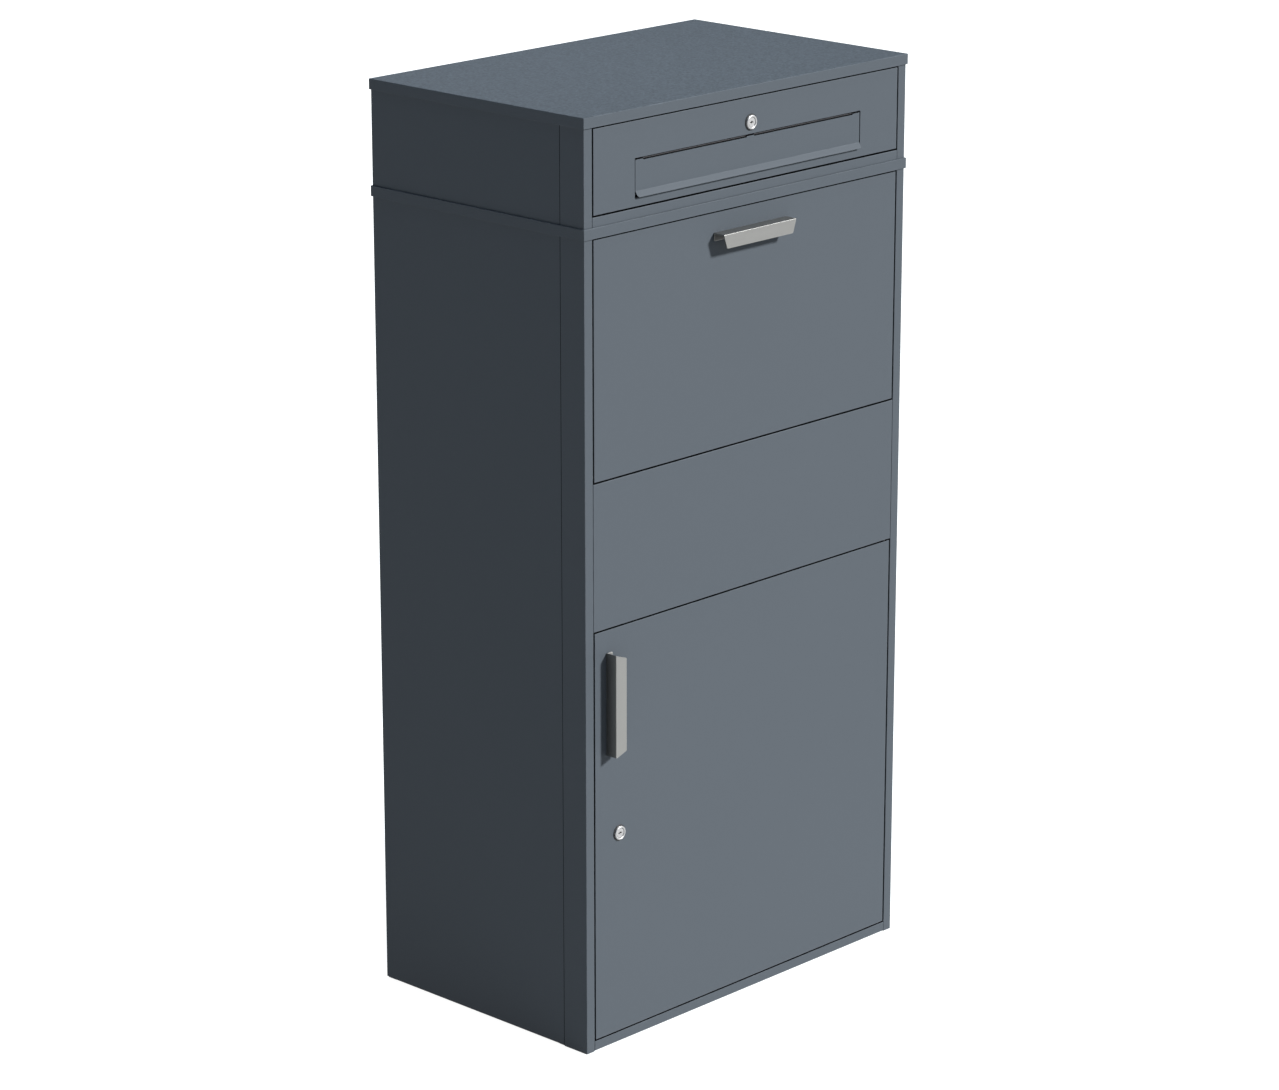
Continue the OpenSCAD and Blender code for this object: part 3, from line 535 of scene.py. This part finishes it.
# %% [markdown]
# ## The lid's textured top
# Parcels are put down on the lid, so its top has a coarser, matt powder, and its skirt has the same smooth
# coat as the panels. Splitting the lid in two would add a seam that it doesn't have. Giving a second
# material to the faces that look up keeps it one sheet.

# %% Textured top
LOOKS_UP = 0.7
top_lid = panels["top_lid"]
top_lid.data.materials.append(lid_coat)
for polygon in top_lid.data.polygons:
    polygon.material_index = int(polygon.normal.z > LOOKS_UP)
print("textured faces:", sum(p.material_index for p in top_lid.data.polygons))

# %% [markdown]
# ## The leaves that move
# The collection door, the hopper front and the letter box door are trays: a face with four edges folded
# back, which makes a thin sheet stiff. They could be folded again from flat sheets, but the CAD holds their
# folds already, so the same rounding is enough. It gives their edges the fine line that a real fold has.

# %% Doors, hopper and flap
LEAVES = ["collection_door", "door_stiffener", "hopper_front", "hopper_tray", "hopper_cheek_left",
          "hopper_cheek_right", "mail_door", "flap_brackets"]
FLAP_CUT = 0.3 * MM
for node in LEAVES:
    rounded_piece(node, f"folded_{node}")
flap = rounded_piece("letter_flap", "folded_letter_flap", cut=FLAP_CUT)

# %% [markdown]
# ## Knuckles painted as shade
# The flap hangs on its rod by rolled knuckles. The knuckles' own faces take the near-black material as
# painted shade, so that the gap above the flap reads as one dark line.

# %% Painted shade on the knuckles
SHADE_OVERLAP = 0.4 * MM
flap.data.materials.append(shade_black)
knuckle_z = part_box("flap_rod")[0].z - SHADE_OVERLAP
painted_shade = [polygon for polygon in flap.data.polygons if polygon.center.z > knuckle_z]
# Faces above this height are painted near black, as the shade in the gap above the flap.
for polygon in painted_shade:
    polygon.material_index = 1
print("sleeved faces on the knuckles:", len(painted_shade))

# %% [markdown]
# ## Painted shade in the running gaps
# Every leaf runs in a narrow gap, and that gap reads as a black line of shade. Near-black tape lies on both
# sides of it as painted shade: round the folded edges of the leaf, and round the frame that it closes. Black
# faces on the frame would stay in plain view when a leaf opens, and a tape looks right open or shut. It is a
# closed ring with a flat section, just behind the front faces, pressed a little into the sheet that it
# sticks to. The rings are built point by point, because their sizes come straight from the leaves.

# %% Rings of near-black tape, painted shade
SHADE_RING_WIDTH = 0.4 * MM
SUNK = 0.3 * MM
SETBACK = 0.9 * MM
SHADE_RING_ROUND = 0.12 * MM
front_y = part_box("middle_panel")[0].y
post_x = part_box("front_post_right")[0].x
print("front at y =", round(front_y, 4), "and posts from x =", round(post_x, 4))


def ring_mesh(name, outer, inner, near_y, far_y):
    """A closed rectangular ring: outer and inner are (x0, x1, z0, z1)."""
    corners = []
    for x0, x1, z0, z1 in (outer, inner):
        for y in (near_y, far_y):
            corners += [(x0, y, z0), (x1, y, z0), (x1, y, z1), (x0, y, z1)]
    faces = []
    for i in range(4):
        j = (i + 1) % 4
        faces += [(i, j, j + 4, i + 4), (i + 8, i + 12, j + 12, j + 8),
                  (i, i + 8, j + 8, j), (i + 4, j + 4, j + 12, i + 12)]
    mesh = bpy.data.meshes.new(name)
    mesh.from_pydata(corners, [], faces)
    bm = bmesh.new()
    bm.from_mesh(mesh)
    bmesh.ops.recalc_face_normals(bm, faces=bm.faces)
    bm.to_mesh(mesh)
    bm.free()
    return mesh


def grown(area, by):
    """The same area with each side moved out."""
    x0, x1, z0, z1 = area
    return (x0 - by, x1 + by, z0 - by, z1 + by)


def painted_shade_ring(name, body, outer, inner, depth):
    """A ring of near-black tape, painted shade, from just behind the front back to this depth."""
    obj = show(ring_mesh(name, outer, inner, front_y + SETBACK, front_y + depth), name)
    bevel = obj.modifiers.new("soft_edges", "BEVEL")
    bevel.width = SHADE_RING_ROUND
    bevel.segments = 2
    bevel.limit_method = "ANGLE"
    smooth(settle(obj))
    put_on(obj, body, "rubber", shade_black)
    print(name, "is", round(inner[1] - inner[0], 3), "m wide inside")


# %% Painted shade tape round each leaf and its opening
FLANGE = 15 * MM
THIN_FRAME = 13 * MM
DEEP_FRAME = 17 * MM
OPENINGS = {
    "collection_door": ("bottom_rail", FLANGE, "middle_panel", FLANGE, DEEP_FRAME),
    "hopper_front": ("middle_panel", 0, "header_rail", 0, THIN_FRAME),
    "mail_door": ("mail_bottom_rail", 0, "mail_header", 0, THIN_FRAME)}
for leaf, (below, upstand, above, drop, depth) in OPENINGS.items():
    low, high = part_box(leaf)
    edge = (low.x, high.x, low.z, high.z)
    # Each ring is near-black painted shade in a leaf's running gap.
    painted_shade_ring(f"shade_ring_on_{leaf}", body_of[leaf], grown(edge, SHADE_RING_WIDTH), grown(edge, -SUNK), depth)
    opening = (-post_x, post_x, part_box(below)[1].z - upstand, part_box(above)[0].z + drop)
    painted_shade_ring(f"shade_ring_round_{leaf}", "cabinet", grown(opening, SUNK), grown(opening, -SHADE_RING_WIDTH), depth)

# %% [markdown]
# ## Painted shade in the side seams
# On each side the corner post ends in a wing that the side panel meets. A thin near-black strip fills the
# seam from top to bottom as painted shade. A line drawn in the coat's colour would slide off if a size
# changed. The strip is a slim straight box instead, placed from the side panel's front edge, a hair proud of
# the sheets.

# %% Side seams
SEAM = 0.6 * MM
SHADE_STRIP = 0.9 * MM
PROUD = 0.05 * MM
SHADE_STRIP_DEPTH = 3 * PROUD
SHADE_STRIP_END = 0.5 * MM


def seam_shade_strip(name, side, panel):
    """A slim near-black box along the seam in front of a side panel, painted shade from the panel's foot to
    its top.
    """
    low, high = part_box(panel)
    seam_y = low.y - SEAM / 2
    outer = high.x + PROUD if side > 0 else low.x - PROUD
    size = Vector((SHADE_STRIP_DEPTH, SHADE_STRIP, high.z - low.z - 2 * SHADE_STRIP_END))
    centre = Vector((outer - side * SHADE_STRIP_DEPTH / 2, seam_y, (low.z + high.z) / 2))
    bm = bmesh.new()
    bmesh.ops.create_cube(bm, size=1)
    bmesh.ops.scale(bm, verts=bm.verts, vec=size)
    bmesh.ops.translate(bm, verts=bm.verts, vec=centre)
    mesh = bpy.data.meshes.new(name)
    bm.to_mesh(mesh)
    bm.free()
    put_on(show(mesh, name), "cabinet", "rubber", shade_black)
    print(name, "at y =", round(seam_y, 4))


# Each strip is painted shade along a side seam.
for side, word in ((-1, "left"), (1, "right")):
    seam_shade_strip(f"seam_{word}", side, f"side_panel_{word}")
    seam_shade_strip(f"mail_seam_{word}", side, f"mail_side_{word}")

# %% [markdown]
# ## The bent grips
# Each grip is one strip of 2 mm stainless steel, bent twice into a step, so that fingers reach in behind
# its front plate. The shape is right in the CAD, so only its edges are worked on: thicker strip bends round
# a larger radius, and more segments give a soft highlight. Each grip's brushing runs along its own length.

# %% Grips
GRIP_FOLDS = {"fold": 1.0 * MM, "inner": 0.5 * MM, "cut": 0.3 * MM, "short": 1.0 * MM, "segments": 4}
rounded_piece("hopper_handle", "hopper_grip", material=brushed_across, **GRIP_FOLDS)
rounded_piece("door_handle", "door_grip", material=brushed_upright, **GRIP_FOLDS)

# %% [markdown]
# ## The cam locks
# A cam lock is a turned barrel with a domed bright flange, a dark ring behind it and a plug with a keyway
# in the middle. It could be spun again from a profile, but the CAD solids already have that profile. The
# copies need only smooth shading, slightly broken edges and each corner's distance from the lock's axis.

# %% Locks
LOCK_EDGES = {"fold": 0, "inner": 0, "cut": 0.2 * MM, "short": 1.2 * MM, "segments": 2}


def add_turn_radius(obj, centre):
    """Stores each vertex's distance from an axis that runs front to back through the centre."""
    radii = [math.hypot(v.co.x - centre.x, v.co.z - centre.z) for v in obj.data.vertices]
    obj.data.attributes.new("turn_radius", "FLOAT", "POINT").data.foreach_set("value", radii)


def middle(node):
    """The middle of the node's box."""
    low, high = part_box(node)
    return (Vector(low) + Vector(high)) / 2


for door in ("door", "mail"):
    axis = middle(f"{door}_lock_ring")
    for part in ("lock_body", "lock_ring", "lock_plug", "lock_nut", "lock_cam"):
        piece = rounded_piece(f"{door}_{part}", f"turned_{door}_{part}", **LOCK_EDGES)
        add_turn_radius(piece, axis)

# %% [markdown]
# ## Pins, bushes and buffers
# These are small turned or moulded pieces, mostly hidden in the gaps, and they show when a door stands open.
# Modelling them again would add nothing, so they get the same treatment, down to shorter edges.

# %% Pins, bushes and buffers
SMALL = ["door_hinge_pins", "hopper_pivot_pins", "hopper_buffers", "door_buffers", "mail_pivot_pins",
         "module_bolts", "module_nuts", "hopper_bushes", "door_hinge_blocks", "mail_bushes", "flap_rod"]
SMALL_EDGES = {"fold": 0, "inner": 0, "cut": 0.3 * MM, "short": 1.2 * MM, "segments": 2}
# The flap's rod takes the near-black steel, painted shade for the gap above the flap.
for node in SMALL:
    rounded_piece(node, f"small_{node}", material=oiled_steel_painted_shade if node == "flap_rod" else None,
                  **SMALL_EDGES)

# %% [markdown]
# ## Rows of fastener heads
# Rivets, spot welds, washers and socket screws differ only in a few sizes, and they repeat, so one Geometry
# Nodes tree makes them all. It grows a head from a cylinder, domes its top, cuts a dimple or a hex socket,
# and puts a copy on every point of a small mesh. Each point carries the direction that its head faces.

# %% The fastener tree: one head
head_tree, h_in, h_out = new_tree(
    "fastener_heads", "GeometryNodeTree",
    [("Geometry", "geometry"), ("Radius", "float", 0.004), ("Height", "float", 0.002),
     ("Dome", "float", 0.0005), ("Sides", "int", 32), ("Socket Radius", "float", 0.001),
     ("Socket Depth", "float", 0.001), ("Socket Sides", "int", 6), ("Material", "material")],
    [("Geometry", "geometry")])
blank = add(head_tree, "GeometryNodeMeshCylinder",
            {"Vertices": h_in["Sides"], "Side Segments": 1, "Fill Segments": 4,
             "Radius": h_in["Radius"], "Depth": h_in["Height"]})
position = add(head_tree, "GeometryNodeInputPosition").outputs[0]
spot = add(head_tree, "ShaderNodeSeparateXYZ", {0: position}).outputs
x_squared = maths(head_tree, "MULTIPLY", spot["X"], spot["X"])
y_squared = maths(head_tree, "MULTIPLY", spot["Y"], spot["Y"])
from_axis = maths(head_tree, "SQRT", maths(head_tree, "ADD", x_squared, y_squared))
across = maths(head_tree, "DIVIDE", from_axis, h_in["Radius"])
fall = maths(head_tree, "SUBTRACT", 1.0, maths(head_tree, "MULTIPLY", across, across))
crown = maths(head_tree, "MULTIPLY", fall, h_in["Dome"])
on_top = maths(head_tree, "GREATER_THAN", spot["Z"], 0.0)
half_height = maths(head_tree, "MULTIPLY", h_in["Height"], 0.5)
lift = maths(head_tree, "ADD", maths(head_tree, "MULTIPLY", crown, on_top), half_height)
domed = add(head_tree, "GeometryNodeSetPosition",
            {"Geometry": blank.outputs["Mesh"], "Offset": along_z(head_tree, lift)})
top = maths(head_tree, "ADD", h_in["Height"], h_in["Dome"])
punch_length = maths(head_tree, "MULTIPLY", h_in["Socket Depth"], 2.0)
punch = add(head_tree, "GeometryNodeMeshCylinder",
            {"Vertices": h_in["Socket Sides"], "Radius": h_in["Socket Radius"], "Depth": punch_length})
raised = add(head_tree, "GeometryNodeTransform",
             {"Geometry": punch.outputs["Mesh"], "Translation": along_z(head_tree, top)})
head = add(head_tree, "GeometryNodeMeshBoolean", {"Mesh 1": domed.outputs[0]}, operation="DIFFERENCE")
head_tree.links.new(raised.outputs[0], head.inputs["Mesh 2"])
print("tree:", head_tree.name, len(head_tree.nodes), "nodes for one head")


# %% The fastener tree: copies on points
def copy_to_points(tree, points, shape, material, result):
    """Puts a copy of the shape on every point, turned to its facing, as real geometry with a material."""
    facing = add(tree, "GeometryNodeInputNamedAttribute", {"Name": "facing"}, data_type="FLOAT_VECTOR")
    turn = add(tree, "FunctionNodeAlignRotationToVector", {"Vector": facing.outputs["Attribute"]}, axis="Z")
    copies = add(tree, "GeometryNodeInstanceOnPoints",
                 {"Points": points, "Instance": shape, "Rotation": turn.outputs["Rotation"]})
    real = add(tree, "GeometryNodeRealizeInstances", {"Geometry": copies.outputs[0]})
    painted = add(tree, "GeometryNodeSetMaterial", {"Geometry": real.outputs[0], "Material": material})
    tree.links.new(painted.outputs[0], result)


copy_to_points(head_tree, h_in["Geometry"], head.outputs["Mesh"], h_in["Material"], h_out["Geometry"])
print("tree:", head_tree.name, len(head_tree.nodes), "nodes in all")

# %% [markdown]
# ## Putting a tree to work
# A tree runs as a modifier on a mesh of loose points. A modifier's inputs are set by their identifiers, not
# their names, before the object is first evaluated. The result is kept as one plain mesh for each body.

# %% Placing a tree on points
SMOOTH_HEADS = 32


def point_mesh(name, points):
    """Loose points, each with the direction that its copy faces."""
    mesh = bpy.data.meshes.new(name)
    mesh.from_pydata([tuple(where) for where, _ in points], [], [])
    facings = mesh.attributes.new("facing", "FLOAT_VECTOR", "POINT")
    facings.data.foreach_set("vector", [x for _, way in points for x in way])
    return mesh


def grow(name, points, tree, sizes, material, body, slot, *nodes):
    """Runs the tree on the points and keeps the result as one plain mesh on the body."""
    obj = show(point_mesh(name, points), name)
    modifier = obj.modifiers.new("copies", "NODES")
    modifier.node_group = tree
    sockets = {item.name: item.identifier for item in tree.interface.items_tree if item.in_out == "INPUT"}
    for key, value in sizes.items():
        modifier[sockets[key]] = value
    modifier[sockets["Material"]] = material
    mesh = settle(obj)
    smooth(mesh, SMOOTH_HEADS)
    put_on(obj, body, slot, material, *nodes)
    print(f"{name}: {len(points)} copies, {len(mesh.polygons)} faces")
    return obj


def row(start, end, count):
    """Evenly spaced places from start to end."""
    start, end = Vector(start), Vector(end)
    return [start.lerp(end, i / (count - 1)) for i in range(count)]


# %% [markdown]
# ## Screws that hold the grips and cams
# The grips are screwed on from behind, and a screw holds each cam on its plug. All of them face inwards.
# The CAD's screws are plain, so each is replaced by a domed head with a hex socket, in the same place. Only
# the heads are made, because the rest is out of sight.

# %% Socket screws
INWARDS = Vector((0, 1, 0))
GRIP_HEAD = {"Radius": 3.8 * MM, "Height": 1.7 * MM, "Dome": 0.8 * MM, "Sides": 32,
             "Socket Radius": 1.45 * MM, "Socket Depth": 1.6 * MM, "Socket Sides": 6}
CAM_HEAD = {"Radius": 5.6 * MM, "Height": 2.2 * MM, "Dome": 0.8 * MM, "Sides": 40,
            "Socket Radius": 2.3 * MM, "Socket Depth": 2.0 * MM, "Socket Sides": 6}
GRIP_SEAT = 2.5 * MM
CAM_SEAT = 3.0 * MM
for node, along in (("door_handle_screws", Vector((0, 0, 1))), ("hopper_handle_screws", Vector((1, 0, 0)))):
    low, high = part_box(node)
    reach = (high - low).dot(along) / 2 - GRIP_HEAD["Radius"]
    seat = middle(node)
    seat.y = high.y - GRIP_SEAT
    seats = [(seat + along * end * reach, INWARDS) for end in (-1, 1)]
    grow(f"{node}_heads", seats, head_tree, GRIP_HEAD, zinc_plate, body_of[node], "zinc_plate", node)
for door in ("door", "mail"):
    node = f"{door}_lock_screw"
    seat = middle(node)
    seat.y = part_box(node)[1].y - CAM_SEAT
    grow(f"{node}_head", [(seat, INWARDS)], head_tree, CAM_HEAD, zinc_plate, body_of[node], "zinc_plate",
         node)

# %% [markdown]
# ## Washers on the letter box door's pins
# The letter box door turns on two pins in its lower corners. A white nylon washer on each pin keeps the door
# clear of the post. It sits back in the gap, so it hardly shows while the door is shut. It could be turned
# from a profile, but a washer is a disc with a hole, which the fastener tree makes already.

# %% Pivot washers
WASHER = {"Radius": 3.4 * MM, "Height": 1.4 * MM, "Dome": 0.2 * MM, "Sides": 32,
          "Socket Radius": 1.7 * MM, "Socket Depth": 1.3 * MM, "Socket Sides": 24}
WASHER_PLAY = 0.45 * MM
pin = middle("mail_pivot_pins")
washer_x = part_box("mail_door")[1].x + WASHER_PLAY
washers = [((side * washer_x, pin.y, pin.z), (side, 0, 0)) for side in (-1, 1)]
grow("mail_pivot_washers", washers, head_tree, WASHER, nylon, "mail_door", "nylon")

# %% [markdown]
# ## Rivets and spot welds
# The back panels are riveted to the rear posts, because that seam can't be welded without burning the
# coat. The door's stiffener is spot welded, which leaves shallow round marks. Both come in rows, so a start,
# an end and a number are all that each row needs.

# %% Rivets on the back
RIVET = {"Radius": 4.2 * MM, "Height": 0.6 * MM, "Dome": 1.2 * MM, "Sides": 24,
         "Socket Radius": 1.1 * MM, "Socket Depth": 0.7 * MM, "Socket Sides": 16}
RIVET_INSET = 9 * MM
RIVET_ROWS = ((0.06, 1.19, 9), (1.29, 1.385, 2))
back_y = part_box("back_panel")[1].y
back_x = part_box("rear_posts")[1].x - RIVET_INSET
rivets = [(place, INWARDS) for low_z, high_z, count in RIVET_ROWS for side in (-1, 1)
          for place in row((side * back_x, back_y, low_z), (side * back_x, back_y, high_z), count)]
grow("back_rivets", rivets, head_tree, RIVET, powder_coat, "cabinet", "powder_coat")

# %% Spot welds on the stiffener
WELD = {"Radius": 3.0 * MM, "Height": 0.05 * MM, "Dome": 0.12 * MM, "Sides": 24,
        "Socket Radius": 1.8 * MM, "Socket Depth": 0.12 * MM, "Socket Sides": 20}
SHEET = 1.5 * MM
WELD_INSET = 6 * MM
WELD_END = 20 * MM
WELDS_PER_ROW = 8
low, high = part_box("door_stiffener")
weld_y = low.y + SHEET
welds = [(place, INWARDS) for x in (low.x + WELD_INSET, high.x - WELD_INSET)
         for place in row((x, weld_y, low.z + WELD_END), (x, weld_y, high.z - WELD_END), WELDS_PER_ROW)]
grow("stiffener_welds", welds, head_tree, WELD, inner_coat, "collection_door", "inner_coat")

# %% [markdown]
# ## Screw threads
# The lock barrels are threaded for their nuts. A bump could hint at a thread, but it would vanish in
# outline. A thread follows a rule, so a second tree draws it: a spiral of the right pitch, swept with a
# small ridge.

# %% The thread tree
thread_tree, t_in, t_out = new_tree(
    "screw_thread", "GeometryNodeTree",
    [("Geometry", "geometry"), ("Radius", "float", 0.009), ("Ridge", "float", 0.0004),
     ("Length", "float", 0.01), ("Turns", "float", 10.0), ("Material", "material")],
    [("Geometry", "geometry")])
spiral = add(thread_tree, "GeometryNodeCurveSpiral",
             {"Resolution": 40, "Rotations": t_in["Turns"], "Start Radius": t_in["Radius"],
              "End Radius": t_in["Radius"], "Height": t_in["Length"]})
ridge = add(thread_tree, "GeometryNodeCurvePrimitiveCircle", {"Resolution": 4, "Radius": t_in["Ridge"]})
swept = add(thread_tree, "GeometryNodeCurveToMesh",
            {"Curve": spiral.outputs[0], "Profile Curve": ridge.outputs[0], "Fill Caps": True})
copy_to_points(thread_tree, t_in["Geometry"], swept.outputs[0], t_in["Material"], t_out["Geometry"])
print("tree:", thread_tree.name, len(thread_tree.nodes), "nodes")

# %% Threads on the lock barrels
THREAD_RADIUS = 9.0 * MM
THREAD_RIDGE = 0.42 * MM
THREAD_PITCH = 1.2 * MM
NUT_CLEARANCE = 0.6 * MM
PLAIN_END = 1.0 * MM
for door, body in (("door", "collection_door"), ("mail", "mail_door")):
    start = middle(f"{door}_lock_ring")
    start.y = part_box(f"{door}_lock_nut")[1].y + NUT_CLEARANCE
    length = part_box(f"{door}_lock_body")[1].y - PLAIN_END - start.y
    thread = {"Radius": THREAD_RADIUS, "Ridge": THREAD_RIDGE, "Length": length,
              "Turns": round(length / THREAD_PITCH)}
    grow(f"{door}_lock_thread", [(start, INWARDS)], thread_tree, thread, lock_chrome, body, "lock_chrome")

# %% [markdown]
# ## The floor
# A pale floor carries the cabinet. A plain white floor would show a strong shadow, so this one has a darker
# colour and glows by itself, which keeps it pale with only a trace of shadow.

# %% Floor
FLOOR_HALF = 30
FLOOR_DROP = 0.4 * MM
floor_mesh = bpy.data.meshes.new("floor")
bm = bmesh.new()
bmesh.ops.create_grid(bm, x_segments=8, y_segments=8, size=FLOOR_HALF)
bmesh.ops.translate(bm, verts=bm.verts, vec=(0, 0, -FLOOR_DROP))
bm.to_mesh(floor_mesh)
bm.free()
floor = show(floor_mesh, "floor")
floor_paint, floor_nodes, floor_shader = start_material("pale_floor")
floor_grain = add(floor_nodes, "ShaderNodeGroup",
                  {"Color": (0.22, 0.24, 0.25, 1), "Grain per metre": 60.0, "Speckle": 0.01,
                   "Clouding": 0.02, "Roughness": 0.8, "Spread": 0.1}, node_tree=grain_group)
floor_nodes.links.new(floor_grain.outputs["Color"], floor_shader.inputs["Base Color"])
floor_nodes.links.new(floor_grain.outputs["Roughness"], floor_shader.inputs["Roughness"])
floor_shader.inputs["Specular IOR Level"].default_value = 0.1
floor_shader.inputs["Emission Color"].default_value = (0.955, 0.945, 0.93, 1)
floor_shader.inputs["Emission Strength"].default_value = 1.0
floor_mesh.materials.append(floor_paint)
print("floor laid at z =", round(floor_mesh.vertices[0].co.z, 5))

# %% [markdown]
# ## The lights
# The key light stands in front, high on the right, so that the front is bright, the left side falls into
# shade and the grips throw short, clear shadows. A soft light from above opens up the lids, and a weak one
# from behind keeps the back readable. Distant lights are suns, because their light is even over the whole
# height of the cabinet.

# %% Lights
KEY_FROM = Vector((0.43, -0.74, 0.52)).normalized()
FILL_FROM = Vector((0.35, 0.86, 0.36))
OVERHEAD_HEIGHT = 3.6


def place_light(data, location=(0, 0, 0), light_from=None):
    """Links a light, and turns it so that it shines from that direction."""
    obj = bpy.data.objects.new(data.name, data)
    obj.location = location
    if light_from:
        obj.rotation_euler = light_from.to_track_quat("Z", "Y").to_euler()
    bpy.context.scene.collection.objects.link(obj)
    print(data.name, "light:", data.energy)


def sun(name, energy, spread_degrees, light_from):
    """A distant light whose shadows soften with its spread."""
    data = bpy.data.lights.new(name, "SUN")
    data.energy = energy
    data.angle = math.radians(spread_degrees)
    place_light(data, light_from=light_from)


sun("key", 10.6, 8, KEY_FROM)
top_light = bpy.data.lights.new("overhead", "AREA")
top_light.shape = "RECTANGLE"
top_light.size = 1.6
top_light.size_y = 1.2
top_light.energy = 14.5
top_light.color = (0.90, 1.0, 1.06)
top_light.spread = math.radians(70)
place_light(top_light, location=(0, 0, OVERHEAD_HEIGHT))
sun("back_fill", 1.5, 25, FILL_FROM)

# %% [markdown]
# ## The surround
# A cabinet in a white studio would be lit white from everywhere. Here the camera sees white, but what
# falls on the cabinet is dim and bluish, which gives the shaded sides their depth. A Light Path node tells
# the two apart.

# %% Surround
SURROUND = 0.088
SEEN_WHITE = 1.1
world = bpy.data.worlds.new("studio")
bpy.context.scene.world = world
world.use_nodes = True
sky = world.node_tree
sky.nodes.clear()
seen = add(sky, "ShaderNodeBackground", {"Color": (1, 1, 1, 1), "Strength": SEEN_WHITE})
lit = add(sky, "ShaderNodeBackground", {"Color": (0.32, 0.92, 1.85, 1), "Strength": SURROUND})
ray = add(sky, "ShaderNodeLightPath")
both = add(sky, "ShaderNodeMixShader",
           {0: ray.outputs["Is Camera Ray"], 1: lit.outputs[0], 2: seen.outputs[0]})
add(sky, "ShaderNodeOutputWorld", {"Surface": both.outputs[0]})
bpy.context.scene.view_settings.view_transform = "Standard"
print("surround strength:", SURROUND)
